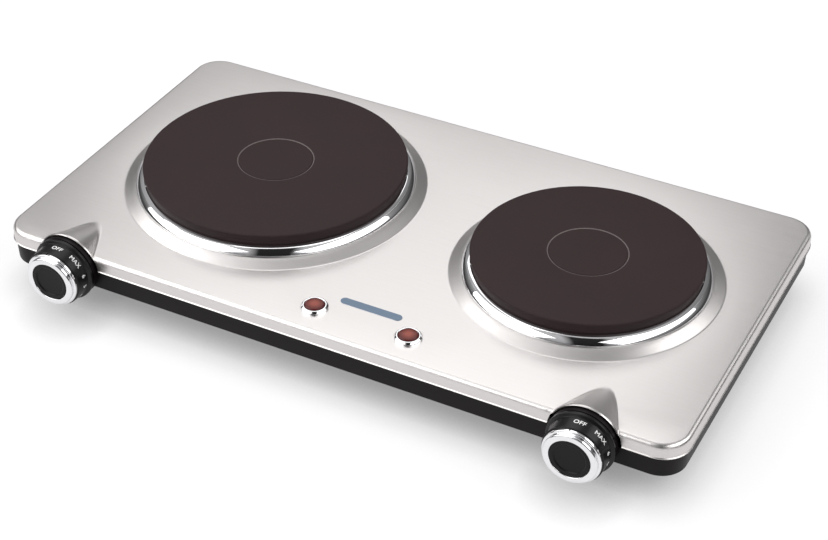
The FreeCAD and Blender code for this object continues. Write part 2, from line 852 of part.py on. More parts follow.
def make_element(side):
    """Bend the tubular element to an open ring with a cold pin down from each end."""
    radius = f"{side}_element_radius"
    coil = new_body(side + "_element", f"{side}_plate_x", "mid_y + burner_y", turn=element_turn(side))
    tube = new_sketch(coil, side + "_tube", "XZ")
    draw_circle(tube, radius, "element_z", "element_tube_radius")
    revolve(coil, tube, "element_arc")
    pins = new_sketch(coil, side + "_pins", "XY", "element_z")
    draw_circle(pins, radius, "0", "pin_radius")
    far = "(element_arc * 1 deg)"
    draw_circle(pins, f"{radius} * cos{far}", f"{radius} * sin{far}", "pin_radius")
    pad(coil, pins, "pin_drop", -1)


def pin_places(side):
    """Give formulas for the two cold pins' places, from the burner's centre."""
    half = "((360 - element_arc) / 2 * 1 deg)"
    reach = "" if side == "left" else "-"
    x = f"{reach}{side}_element_radius * cos{half}"
    y = f"{side}_element_radius * sin{half}"
    return [(x, y), (x, f"-({y})")]


def make_reflector(side):
    """Spin the sheet cover that closes the plate's underside, with holes for the stud and pins."""
    dish = burner_body(side + "_reflector", side)
    outer = f"{side}_plate_radius - plate_taper - plate_foot_width - reflector_gap"
    bore = "stud_radius + screw_clearance"
    low = "boss_z - reflector_sheet"
    profile = new_sketch(dish, side + "_reflector_section", "XZ")
    draw_outline(
        profile,
        [
            (bore, "boss_z"),
            (bore, low),
            (outer, low),
            (outer, "plate_under_z"),
            (f"{outer} - reflector_sheet", "plate_under_z"),
            (f"{outer} - reflector_sheet", "boss_z"),
        ],
    )
    revolve(dish, profile)
    holes = new_sketch(dish, side + "_pin_holes", "XY", low)
    for x, y in pin_places(side):
        draw_circle(holes, x, y, "pin_radius + pin_clearance")
    pocket(dish, holes, "2 * reflector_sheet")


def make_terminal_block(side):
    """Mould the ceramic block that sits under the reflector on the two cold pins."""
    block = burner_body(side + "_terminal_block", side)
    x, y = pin_places(side)[0]
    top = new_sketch(block, side + "_block", "XY", "boss_z - reflector_sheet")
    draw_rounded_box(top, "block_width", f"2 * {y} + 2 * block_margin", "block_corner", x=x)
    pad(block, top, "block_height", -1)
    bores = new_sketch(block, side + "_block_bores", "XY", "boss_z - reflector_sheet")
    for place_x, place_y in pin_places(side):
        draw_circle(bores, place_x, place_y, "pin_radius + pin_clearance")
    pocket(block, bores, "block_height", -1)
    channel = new_sketch(block, side + "_channel", "XZ", f"-({y}) - block_margin")
    low = "boss_z - reflector_sheet - block_height"
    half = "channel_width / 2"
    draw_outline(
        channel,
        [
            (f"{x} - {half}", low),
            (f"{x} + {half}", low),
            (f"{x} + {half}", f"{low} + channel_depth"),
            (f"{x} - {half}", f"{low} + channel_depth"),
        ],
    )
    pocket(block, channel, f"2 * {y} + 2 * block_margin")


def make_stud(side):
    """Make the stud that stands in the plate's boss."""
    stud = cylinder(
        side + "_stud",
        "stud_radius",
        "stud_drop + stud_depth - thread_clearance",
        f"{side}_plate_x",
        "mid_y + burner_y",
        "boss_z - stud_drop",
    )
    finished(stud, side + "_stud")


def make_nuts(label, height, top_z):
    """Make one nut on each stud, with its upper face at top_z."""
    nuts = []
    for side in SIDES:
        at = (f"{side}_plate_x", "mid_y + burner_y", f"{top_z} - {height}")
        blank = hexagon(f"{side}_{label}_blank", "nut_radius", height, *at)
        bore = cylinder(f"{side}_{label}_bore", "stud_radius + thread_clearance", height, *at)
        nuts.append(combine("Cut", f"{side}_{label}", blank, bore))
    group(label, nuts)


def make_strap(side):
    """Bend the clamp strap that bears up under the steel ledge at the front and back."""
    strap = burner_body(side + "_strap", side)
    seat_in = f"{side}_plate_radius - ledge_reach + trim_inset"
    seat_out = f"{seat_in} + strap_seat"
    bend_in = f"{seat_in} - strap_slope"
    seat_z = "ledge_z - cover_sheet"
    profile = new_sketch(strap, side + "_strap_side", "YZ", "-strap_width / 2")
    draw_outline(
        profile,
        [
            (f"-({bend_in})", "strap_z - strap_thickness"),
            (bend_in, "strap_z - strap_thickness"),
            (seat_in, f"{seat_z} - strap_thickness"),
            (seat_out, f"{seat_z} - strap_thickness"),
            (seat_out, seat_z),
            (seat_in, seat_z),
            (bend_in, "strap_z"),
            (f"-({bend_in})", "strap_z"),
            (f"-({seat_in})", seat_z),
            (f"-({seat_out})", seat_z),
            (f"-({seat_out})", f"{seat_z} - strap_thickness"),
            (f"-({seat_in})", f"{seat_z} - strap_thickness"),
        ],
    )
    pad(strap, profile, "strap_width")
    hole = new_sketch(strap, side + "_strap_hole", "XY", "strap_z")
    draw_circle(hole, "0", "0", "stud_radius + screw_clearance")
    pocket(strap, hole, "2 * strap_thickness", -1)


# Knobs and regulators


def knob_body(label, side):
    """Start a body on one knob's axis, with its own Z pointing forward from the pad face."""
    return new_body(label, f"{side}_knob_x", "mid_y - bend_y - pad_out", "axis_z", FORWARD)


def draw_flatted(sketch, radius, flat):
    """Draw a round bar's section with one flat on its upper side."""
    reach = f"sqrt(({radius})^2 - ({flat})^2)"
    draw_outline(sketch, [(f"-{reach}", flat), (reach, flat, "0", "0", 1)])


def make_knob_skirt(side):
    """Turn the black dial skirt: rear flange, tapered band, closed front and a hub with a flat."""
    skirt = knob_body(side + "_knob_skirt", side)
    shoulder = "knob_clearance + knob_flange_thickness"
    inner = "band_front_radius - skirt_wall"
    web = "skirt_length - skirt_wall"
    hub_end = "knob_clearance + hub_setback"
    profile = new_sketch(skirt, side + "_skirt_section", "XZ")
    draw_outline(
        profile,
        [
            ("0", "skirt_length"),
            ("0", hub_end),
            ("hub_radius", hub_end),
            ("hub_radius", web),
            (inner, web),
            (inner, "knob_clearance"),
            ("knob_flange_radius", "knob_clearance"),
            ("knob_flange_radius", shoulder),
            ("band_rear_radius", f"{shoulder} + knob_shoulder"),
            ("band_front_radius", "skirt_length"),
        ],
    )
    revolve(skirt, profile)
    bore = new_sketch(skirt, side + "_hub_bore", "XY", hub_end)
    draw_flatted(bore, "shaft_radius + running_clearance", "shaft_flat + running_clearance")
    pocket(skirt, bore, f"{web} - ({hub_end})")


def make_knob_ring(side):
    """Turn the bright grip ring that sits on the front of the skirt."""
    ring = knob_body(side + "_knob_ring", side)
    front = "skirt_length + ring_length"
    profile = new_sketch(ring, side + "_ring_section", "XZ")
    draw_outline(
        profile,
        [
            ("ring_bore", "skirt_length"),
            ("ring_rear_radius", "skirt_length"),
            ("ring_front_radius", f"{front} - ring_round"),
            (
                "ring_front_radius - ring_round",
                front,
                "ring_front_radius - ring_round",
                f"{front} - ring_round",
                1,
            ),
            ("ring_bore", front),
        ],
    )
    revolve(ring, profile)


def make_knob_cap(side):
    """Turn the black front cap: a raised rim round a dished face."""
    cap = knob_body(side + "_knob_cap", side)
    radius = "ring_bore - cap_clearance"
    front = "skirt_length + cap_length"
    profile = new_sketch(cap, side + "_cap_section", "XZ")
    draw_outline(
        profile,
        [
            ("0", f"{front} - cap_dish"),
            ("0", "skirt_length"),
            (radius, "skirt_length"),
            (radius, f"{front} - cap_dish"),
            (f"{radius} - cap_dish", front, f"{radius} - cap_dish", f"{front} - cap_dish", 1),
            (f"{radius} - cap_rim", front),
            (f"{radius} - cap_rim - cap_dish", f"{front} - cap_dish"),
        ],
    )
    revolve(cap, profile)


def make_shaft(side):
    """Make the regulator's shaft, with the driving flat that the knob's hub fits."""
    shaft = knob_body(side + "_shaft", side)
    back = "-(pad_thickness) - shaft_depth"
    front = "skirt_length - skirt_wall - running_clearance"
    round_part = new_sketch(shaft, side + "_shaft_round", "XY", back)
    draw_circle(round_part, "0", "0", "shaft_radius")
    pad(shaft, round_part, f"{front} - ({back})")
    cut = new_sketch(shaft, side + "_shaft_flat", "XY", "knob_clearance")
    draw_outline(
        cut,
        [
            ("-shaft_radius", "shaft_flat"),
            ("shaft_radius", "shaft_flat"),
            ("shaft_radius", "2 * shaft_radius"),
            ("-shaft_radius", "2 * shaft_radius"),
        ],
    )
    pocket(shaft, cut, front)


def make_thermostat(side):
    """Mould the regulator: mounting flange on the pad's inner face, body, shaft bore and two tabs."""
    body = knob_body(side + "_thermostat", side)
    front = "-pad_thickness"
    rear = "-(regulator_reach)"
    flange = new_sketch(body, side + "_flange", "XY", front)
    draw_rounded_box(flange, "regulator_flange_width", "regulator_height", "regulator_flange_corner")
    pad(body, flange, "regulator_flange_thickness", -1)
    block = new_sketch(body, side + "_block", "XY", f"{front} - regulator_flange_thickness")
    draw_rounded_box(block, "regulator_width", "regulator_height", "regulator_corner")
    pad(body, block, "regulator_length", -1)
    tabs = new_sketch(body, side + "_tabs", "XY", rear)
    for sign in ("", "-"):
        half = "regulator_tab_width / 2"
        y = f"{sign}regulator_tab_offset"
        draw_outline(
            tabs,
            [
                (f"regulator_tab_reach - {half}", y),
                (f"regulator_tab_reach + {half}", y),
                (f"regulator_tab_reach + {half}", f"{y} + regulator_tab_thickness"),
                (f"regulator_tab_reach - {half}", f"{y} + regulator_tab_thickness"),
            ],
        )
    pad(body, tabs, "regulator_tab_length", -1)
    bore = new_sketch(body, side + "_bore", "XY", front)
    draw_circle(bore, "0", "0", "shaft_radius + running_clearance")
    pocket(body, bore, "shaft_depth + shaft_end_gap", -1)
    holes = new_sketch(body, side + "_flange_holes", "XY", front)
    for sign in ("", "-"):
        draw_circle(holes, f"{sign}regulator_screw_reach", "0", "screw_radius + screw_clearance")
    pocket(body, holes, "regulator_flange_thickness", -1)


def make_thermostat_leaf(side):
    """Make the bimetal strip that lies on top of the regulator."""
    leaf = doc.addObject("Part::Box", side + "_thermostat_leaf")
    bind(leaf, "Length", "leaf_width")
    bind(leaf, "Width", "leaf_length")
    bind(leaf, "Height", "leaf_thickness")
    start = "pad_thickness + regulator_flange_thickness + leaf_setback"
    place(
        leaf,
        f"{side}_knob_x - leaf_width / 2",
        f"mid_y - bend_y - pad_out + {start}",
        "axis_z + regulator_height / 2",
    )
    finished(leaf, side + "_thermostat_leaf")


def make_thermostat_screws():
    """Make the screws that hold the regulators, put in from the front under the knobs."""
    screws = []
    for side in SIDES:
        for number, sign in enumerate(("+", "-")):
            screws.append(
                screw(
                    f"{side}_thermostat_screw_{number}",
                    "screw_radius",
                    "pad_thickness + regulator_flange_thickness + regulator_screw_tail",
                    "screw_head_radius",
                    "screw_head_height",
                    f"{side}_knob_x {sign} regulator_screw_reach",
                    "mid_y - bend_y - pad_out",
                    "axis_z",
                    BACKWARD,
                )
            )
    group("thermostat_screws", screws)


# Signal lamps


def lamp_body(label, side):
    """Start a body on the axis of one signal lamp."""
    return new_body(label, f"{side}_lamp_x", "mid_y + lamp_y")


def make_lamp_bezel(side):
    """Turn the bright bezel with its barrel."""
    bezel = lamp_body(side + "_lamp_bezel", side)
    round_x = "bezel_radius - bezel_round"
    round_z = "top_height + bezel_rise - bezel_round"
    profile = new_sketch(bezel, side + "_bezel_section", "XZ")
    draw_outline(
        profile,
        [
            ("bezel_bore", "top_height + bezel_rise"),
            ("bezel_bore", "top_height - barrel_drop"),
            ("barrel_radius", "top_height - barrel_drop"),
            ("barrel_radius", "top_height"),
            ("bezel_radius", "top_height"),
            ("bezel_radius", round_z),
            (round_x, "top_height + bezel_rise", round_x, round_z, 1),
        ],
    )
    revolve(bezel, profile)


def make_lamp_lens(side):
    """Turn the domed lens that sits in the bezel."""
    lens = lamp_body(side + "_lamp_lens", side)
    radius = "(bezel_bore - lamp_clearance)"
    edge_z = "top_height + lens_shoulder"
    crown = "(lens_rise - lens_shoulder)"
    dome = f"(({radius}^2 + {crown}^2) / (2 * {crown}))"
    top_z = "top_height + lens_rise"
    profile = new_sketch(lens, side + "_lens_section", "XZ")
    draw_outline(
        profile,
        [
            ("0", "top_height - lens_depth"),
            (radius, "top_height - lens_depth"),
            (radius, edge_z),
            ("0", top_z, "0", f"{top_z} - {dome}", 1),
        ],
    )
    revolve(lens, profile)


def make_lamp_bulb(side):
    """Turn the neon lamp with the holder that closes the barrel."""
    bulb = lamp_body(side + "_lamp_bulb", side)
    foot = "top_height - barrel_drop"
    shoulder = f"{foot} + bulb_holder"
    neck = f"{foot} + bulb_length - bulb_radius"
    holder = "bezel_bore - lamp_clearance"
    profile = new_sketch(bulb, side + "_bulb_section", "XZ")
    draw_outline(
        profile,
        [
            ("0", foot),
            (holder, foot),
            (holder, shoulder),
            ("bulb_radius", shoulder),
            ("bulb_radius", neck),
            ("0", f"{neck} + bulb_radius", "0", neck, 1),
        ],
    )
    revolve(bulb, profile)


def make_lamp_clips():
    """Make the push-on clips that grip the barrels under the steel."""
    clips = []
    for side in SIDES:
        at = (f"{side}_lamp_x", "mid_y + lamp_y", "cover_under_z - clip_thickness")
        disc = cylinder(side + "_clip_disc", "clip_radius", "clip_thickness", *at)
        bore = cylinder(side + "_clip_bore", "barrel_radius + lamp_clearance", "clip_thickness", *at)
        clips.append(combine("Cut", side + "_lamp_clip", disc, bore))
    group("lamp_clips", clips)


# Fixings, feet and supply


def corners(x, y):
    """Give the four mirrored corner places with their names."""
    for depth, sign_y in (("front", "-"), ("rear", "")):
        for side, sign_x in (("left", "-"), ("right", "")):
            yield f"{depth}_{side}", f"{sign_x}{x}", f"mid_y + ({sign_y}{y})"


def make_posts_and_screws():
    """Make the threaded posts under the top and the base screws that enter them."""
    posts = []
    screws = []
    foot_z = "shelf_z + base_sheet"
    length = f"cover_under_z - ({foot_z})"
    for corner, x, y in corners("post_x", "post_y"):
        bar = cylinder(corner + "_post_bar", "post_radius", length, x, y, foot_z)
        bore = cylinder(
            corner + "_post_bore",
            "screw_radius + thread_clearance",
            "base_screw_reach + screw_clearance",
            x,
            y,
            foot_z,
        )
        posts.append(combine("Cut", corner + "_post", bar, bore))
        screws.append(
            screw(
                corner + "_base_screw",
                "screw_radius",
                "base_screw_reach + base_sheet",
                "screw_head_radius",
                "screw_head_height",
                x,
                y,
                "shelf_z",
            )
        )
    group("tie_posts", posts)
    group("base_screws", screws)


def make_foot(corner, x, y):
    """Turn one rubber foot: tapered, round at the table, with a recess for its screw."""
    foot = new_body(corner + "_foot", x, y)
    bore = "foot_screw_radius + screw_clearance"
    profile = new_sketch(foot, corner + "_foot_section", "XZ")
    draw_outline(
        profile,
        [
            ("foot_recess_radius", "0"),
            ("foot_base_radius - foot_round", "0"),
            ("foot_base_radius", "foot_round", "foot_base_radius - foot_round", "foot_round", 1),
            ("foot_head_radius", "belly_z"),
            (bore, "belly_z"),
            (bore, "foot_recess_depth"),
            ("foot_recess_radius", "foot_recess_depth"),
        ],
    )
    revolve(foot, profile)


def make_feet():
    """Make the four feet with their screws and nuts."""
    screws = []
    nuts = []
    grip = "floor_z - foot_recess_depth"
    for corner, x, y in corners("foot_x", "foot_y"):
        make_foot(corner, x, y)
        screws.append(
            screw(
                corner + "_foot_screw",
                "foot_screw_radius",
                f"{grip} + foot_nut_height + foot_screw_tail",
                "foot_screw_head_radius",
                "foot_screw_head",
                x,
                y,
                "foot_recess_depth",
            )
        )
        blank = hexagon(corner + "_nut_blank", "foot_nut_radius", "foot_nut_height", x, y, "floor_z")
        bore = cylinder(
            corner + "_nut_bore", "foot_screw_radius + thread_clearance", "foot_nut_height", x, y, "floor_z"
        )
        nuts.append(combine("Cut", corner + "_foot_nut", blank, bore))
    group("foot_screws", screws)
    group("foot_nuts", nuts)


def make_supply():
    """Make the supply terminal block with its screws, the earth tab and the gland."""
    block = new_body("mains_block", "mains_x", "mid_y + mains_y")
    foot = new_sketch(block, "mains_foot", "XY", "floor_z")
    draw_rounded_box(foot, "mains_width", "mains_depth", "mains_corner")
    pad(block, foot, "mains_height")
    top_z = "floor_z + mains_height"
    wells = new_sketch(block, "mains_wells", "XY", top_z)
    screws = []
    for number, sign in enumerate(("-1", "0", "1")):
        draw_circle(wells, f"{sign} * mains_pitch", "0", "mains_screw_radius + screw_clearance")
        pin = cylinder(
            f"mains_screw_{number}",
            "mains_screw_radius",
            "mains_screw_length",
            f"mains_x + {sign} * mains_pitch",
            "mid_y + mains_y",
            f"{top_z} - mains_well_depth",
        )
        screws.append(pin)
    pocket(block, wells, "mains_well_depth", -1)
    group("mains_block_screws", screws)

    tab = new_body("earth_tab", "earth_x", "mid_y + earth_y")
    side_view = new_sketch(tab, "earth_side", "YZ", "-earth_width / 2")
    draw_outline(
        side_view,
        [
            ("0", "floor_z"),
            ("earth_length", "floor_z"),
            ("earth_length", "floor_z + earth_rise"),
            ("earth_length - earth_thickness", "floor_z + earth_rise"),
            ("earth_length - earth_thickness", "floor_z + earth_thickness"),
            ("0", "floor_z + earth_thickness"),
        ],
    )
    pad(tab, side_view, "earth_width")

    gland_y = "mid_y + bend_y + gland_pad_out"
    gland = new_body("cord_gland", "gland_x", gland_y, "top_height - gland_drop", BACKWARD)
    inner = "-(gland_pad_thickness) - gland_clearance"
    profile = new_sketch(gland, "gland_section", "XZ")
    draw_outline(
        profile,
        [
            ("gland_bore", "gland_lip"),
            ("gland_bore", f"{inner} - gland_lip"),
            ("gland_radius", f"{inner} - gland_lip"),
            ("gland_radius", inner),
            ("gland_waist", inner),
            ("gland_waist", "0"),
            ("gland_radius", "0"),
            ("gland_radius", "gland_lip - gland_round"),
            (
                "gland_radius - gland_round",
                "gland_lip",
                "gland_radius - gland_round",
                "gland_lip - gland_round",
                1,
            ),
        ],
    )
    revolve(gland, profile)


def make_lead(label, points):
    """Bend one lead along level and upright runs, joined by quarter turns of one radius."""
    stops = [FreeCAD.Vector(value(x), value(y), value(z)) for x, y, z in points]
    bend = value("lead_bend")
    runs = []
    start = stops[0]
    for before, corner, after in zip(stops, stops[1:], stops[2:]):
        back = (before - corner).normalize() * bend
        onward = (after - corner).normalize() * bend
        middle = corner + (back + onward) * (1 - math.sqrt(0.5))
        runs.append(Part.LineSegment(start, corner + back).toShape())
        runs.append(Part.Arc(corner + back, middle, corner + onward).toShape())
        start = corner + onward
    runs.append(Part.LineSegment(start, stops[-1]).toShape())
    path = Part.Wire(runs)
    section = Part.Circle(stops[0], stops[1] - stops[0], value("lead_radius")).toShape()
    tube = path.makePipeShell([Part.Wire(section)], True)
    expected = math.pi * value("lead_radius") ** 2 * path.Length
    if abs(tube.Volume - expected) > 0.001 * expected:
        raise RuntimeError(f"{label} has the wrong volume")
    lead = doc.addObject("Part::Feature", label)
    lead.Shape = tube
    place(lead, y="mid_y")
    finished(lead, label)


def make_burner_leads(side):
    """Wire one burner: supply to regulator, regulator to element, element back to the supply."""
    sign = "-" if side == "left" else ""
    mains_front = "mains_y - mains_depth / 2"
    low = "floor_z + supply_lead_height"
    middle = "floor_z + return_lead_height"
    tab_x = f"{side}_knob_x + regulator_tab_reach"
    upper_z = "axis_z + regulator_tab_offset + regulator_tab_thickness / 2"
    lower_z = "axis_z - regulator_tab_offset + regulator_tab_thickness / 2"
    supply_x = f"mains_x + ({sign}mains_pitch)"
    climb_y = "tab_end_y + supply_lead_climb"
    make_lead(
        side + "_supply_lead",
        [
            (supply_x, mains_front, low),
            (supply_x, "supply_lead_y", low),
            (tab_x, "supply_lead_y", low),
            (tab_x, climb_y, low),
            (tab_x, climb_y, upper_z),
            (tab_x, "tab_end_y", upper_z),
        ],
    )
    rear, front = [(f"{side}_plate_x + ({x})", f"burner_y + ({y})") for x, y in pin_places(side)]
    pin_end_z = "element_z - pin_drop"
    row_y = "tab_end_y + heater_lead_back"
    make_lead(
        side + "_heater_lead",
        [
            (tab_x, "tab_end_y", lower_z),
            (tab_x, row_y, lower_z),
            (front[0], row_y, lower_z),
            (*front, lower_z),
            (*front, pin_end_z),
        ],
    )
    return_x = f"mains_x + ({sign}return_lead_x)"
    make_lead(
        side + "_return_lead",
        [
            (*rear, pin_end_z),
            (*rear, middle),
            (return_x, rear[1], middle),
            (return_x, mains_front, middle),
        ],
    )


def make_earth_lead():
    """Wire the supply block to the earth tab."""
    height = "floor_z + supply_lead_height"
    make_lead(
        "earth_lead",
        [
            ("mains_x + mains_width / 2", "mains_y", height),
            ("earth_x", "mains_y", height),
            ("earth_x", "earth_y + earth_length - earth_thickness", height),
        ],
    )


def write_parts():
    """Check every object, then write each sub-part to a file named after it."""
    doc.recompute()
    for thing in doc.Objects:
        if "Invalid" in thing.State or "Error" in thing.State:
            raise RuntimeError(f"{thing.Label} failed: {thing.State}")
    os.makedirs("parts", exist_ok=True)
    for part in PARTS:
        if part.Shape.isNull() or not part.Shape.isValid() or not part.Shape.Solids:
            raise RuntimeError(f"{part.Label} has no valid solid")
    for part in PARTS:
        part.Shape.exportStep(f"parts/{part.Label}.step")
    print(f"{len(PARTS)} sub-parts written")


make_top_cover()
make_base_pan()
for side in SIDES:
    make_plate(side)
    make_trim_ring(side)
    make_element(side)
    make_reflector(side)
    make_terminal_block(side)
    make_stud(side)
    make_strap(side)
make_nuts("reflector_nuts", "reflector_nut_height", "boss_z - reflector_sheet")
make_nuts("clamp_nuts", "clamp_nut_height", "strap_z - strap_thickness")
for side in SIDES:
    make_knob_skirt(side)
    make_knob_ring(side)
    make_knob_cap(side)
    make_shaft(side)
    make_thermostat(side)
    make_thermostat_leaf(side)
    make_lamp_bezel(side)
    make_lamp_lens(side)
    make_lamp_bulb(side)
make_thermostat_screws()
make_lamp_clips()
make_posts_and_screws()
make_feet()
make_supply()
for side in SIDES:
    make_burner_leads(side)
make_earth_lead()
write_parts()
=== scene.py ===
"""Looks of a two-burner hot plate: pressed steel top, cast iron plates, bright rings, dial knobs and lamps."""

import json
import logging
import math
from dataclasses import dataclass, field
from enum import Enum
from typing import Callable, Iterable, Sequence, Union

import bmesh
import bpy
from mathutils import Matrix, Vector
from mathutils.geometry import delaunay_2d_cdt


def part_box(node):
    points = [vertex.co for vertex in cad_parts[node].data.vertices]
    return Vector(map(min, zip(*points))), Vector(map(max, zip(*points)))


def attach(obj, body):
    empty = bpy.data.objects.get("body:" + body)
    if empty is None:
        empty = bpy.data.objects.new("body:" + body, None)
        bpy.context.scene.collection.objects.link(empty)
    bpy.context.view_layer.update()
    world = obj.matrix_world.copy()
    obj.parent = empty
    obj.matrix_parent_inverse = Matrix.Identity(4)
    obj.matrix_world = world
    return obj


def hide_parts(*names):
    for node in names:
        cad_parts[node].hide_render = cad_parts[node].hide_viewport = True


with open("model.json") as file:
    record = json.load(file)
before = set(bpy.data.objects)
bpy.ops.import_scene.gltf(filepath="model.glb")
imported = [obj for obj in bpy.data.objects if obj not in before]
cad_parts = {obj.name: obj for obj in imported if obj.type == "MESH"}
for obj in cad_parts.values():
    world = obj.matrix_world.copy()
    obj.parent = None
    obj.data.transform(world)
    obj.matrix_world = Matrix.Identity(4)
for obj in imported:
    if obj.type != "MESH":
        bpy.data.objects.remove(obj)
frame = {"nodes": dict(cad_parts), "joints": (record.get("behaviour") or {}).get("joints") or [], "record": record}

MM = 0.001
HOUSING = "housing"
GRAIN_UV = "grain"
CREASE = 32.0
NEAR = 1e-6
TOUCH = 1e-7

Point = tuple[float, float]
Corner = tuple[float, float, float]
Place = tuple[float, float, float]
Lengths = tuple[float, float, float]
Colour = tuple[float, float, float]
Shape = bmesh.types.BMesh
Piece = bpy.types.Object
Socket = bpy.types.NodeSocket
Sockets = bpy.types.bpy_prop_collection
Input = Union[Socket, float, int, str, Sequence[float]]

log = logging.getLogger("hot_plate")


class Side(Enum):
    """The two ends of the appliance, as the cook sees them."""

    LEFT = "left"
    RIGHT = "right"


class Seat(Enum):
    """The way a turned piece's own axis points."""

    UP = Matrix.Identity(4)
    FORWARD = Matrix.Rotation(math.radians(90), 4, "X")
    BACKWARD = Matrix.Rotation(math.radians(-90), 4, "X")


# Curves and small sums


def soft_max(first: float, second: float, blend: float) -> float:
    """Take the larger of two heights, rounded over where they are within a blend of each other."""
    near = max(blend - abs(first - second), 0.0) / blend
    return max(first, second) + near * near * blend / 4


def soft_min(first: float, second: float, blend: float) -> float:
    """Take the smaller of two heights, rounded over where they are close."""
    return -soft_max(-first, -second, blend)


def mixed(first: float, second: float, share: float) -> float:
    """Go a share of the way from one number to another."""
    return first + (second - first) * share


def rounded_line(corners: Sequence[Corner], closed: bool = False, steps: int = 6) -> list[Point]:
    """Round the corners of a line.

    Args:
        corners: Points as (across, up, radius); a radius of 0 keeps the corner sharp.
        closed: Whether the last point runs on to the first.
        steps: Straight runs for each arc.

    Returns:
        The points of the rounded line.
    """
    line: list[Point] = []
    count = len(corners)
    for index, (across, up, radius) in enumerate(corners):
        at_end = not closed and index in (0, count - 1)
        if radius == 0 or at_end:
            line.append((across, up))
            continue
        corner = Vector((across, up))
        back = (Vector(corners[index - 1][:2]) - corner).normalized()
        onward = (Vector(corners[(index + 1) % count][:2]) - corner).normalized()
        half = back.angle(onward) / 2
        centre = corner + (back + onward).normalized() * radius / math.sin(half)
        start = corner + back * radius / math.tan(half) - centre
        turn = math.pi - 2 * half
        if back.cross(onward) > 0:
            turn = -turn
        for step in range(steps + 1):
            spoke = start.copy()
            spoke.rotate(Matrix.Rotation(turn * step / steps, 2))
            line.append(tuple(centre + spoke))
    return line


def ring_points(centre: Point, radius: float, count: int) -> list[Point]:
    """Place points evenly on a circle."""
    turns = (math.tau * index / count for index in range(count))
    return [(centre[0] + radius * math.cos(turn), centre[1] + radius * math.sin(turn)) for turn in turns]


def oblong(centre: Point, length: float, width: float, steps: int) -> list[Point]:
    """Draw a long outline with half-round ends about its middle."""
    run, radius = (length - width) / 2, width / 2
    line = []
    for sign in (1, -1):
        for step in range(steps + 1):
            turn = math.pi * (step / steps - 0.5) + (math.pi if sign < 0 else 0.0)
            line.append((centre[0] + sign * run + radius * math.cos(turn), centre[1] + radius * math.sin(turn)))
    return line


# Meshes


def add_piece(name: str, shape: Shape, finish: "Finish") -> Piece:
    """Turn a shape into a smooth-shaded piece of the scene.

    Args:
        name: The piece's name.
        shape: The finished shape, which is freed.
        finish: What the piece is made of.

    Returns:
        The new object, at the origin.
    """
    mesh = bpy.data.meshes.new(name)
    shape.to_mesh(mesh)
    shape.free()
    shade(mesh)
    mesh.materials.clear()
    mesh.materials.append(finish.material())
    piece = bpy.data.objects.new(name, mesh)
    bpy.context.scene.collection.objects.link(piece)
    return piece


def shade(mesh: bpy.types.Mesh, crease: float = CREASE) -> None:
    """Shade a mesh smoothly, with sharp edges above an angle in degrees."""
    mesh.shade_smooth()
    mesh.set_sharp_from_angle(angle=math.radians(crease))


def settle(piece: Piece, body: str, nodes: Iterable[str] = ()) -> None:
    """Seat a piece on its body and hide the nodes that it stands for."""
    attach(piece, body)
    names = list(nodes)
    if names:
        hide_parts(*names)
    log.info("%s on %s, %d faces, for %s", piece.name, body, len(piece.data.polygons), names or "no node")


def baked(piece: Piece, crease: float = CREASE) -> Piece:
    """Turn a piece's modifiers into plain mesh, shaded smoothly up to an angle in degrees."""
    bpy.context.view_layer.update()
    graph = bpy.context.evaluated_depsgraph_get()
    mesh = bpy.data.meshes.new_from_object(piece.evaluated_get(graph))
    piece.modifiers.clear()
    piece.data = mesh
    shade(mesh, crease)
    return piece


def turned_shape(outline: Sequence[Point], place: Matrix, segments: int) -> Shape:
    """Turn a closed outline round its upright axis.

    Args:
        outline: Points as (radius, height), in order; points on the axis become poles.
        place: Where the turned shape goes.
        segments: Steps round the axis.

    Returns:
        A closed shape with its faces outwards.
    """
    shape = bmesh.new()
    rings = []
    for radius, height in outline:
        spots = [(0.0, 0.0)] if radius < TOUCH else ring_points((0.0, 0.0), radius, segments)
        rings.append([shape.verts.new((x, y, height)) for x, y in spots])
    for lower, upper in zip(rings, rings[1:] + rings[:1]):
        if len(lower) == len(upper) == 1:
            continue
        for index in range(segments):
            onward = (index + 1) % segments
            spots = [(lower, index), (lower, onward), (upper, onward), (upper, index)]
            corners = dict.fromkeys(ring[spot % len(ring)] for ring, spot in spots)
            shape.faces.new(list(corners))
    bmesh.ops.recalc_face_normals(shape, faces=shape.faces)
    shape.transform(place)
    return shape


def turned_piece(
    name: str, corners: Sequence[Corner], at: Vector, seat: Seat, finish: "Finish", segments: int
) -> Piece:
    """Turn a rounded outline and add it as a piece standing at a point."""
    outline = rounded_line(corners, closed=True)
    return add_piece(name, turned_shape(outline, Matrix.Translation(at) @ seat.value, segments), finish)


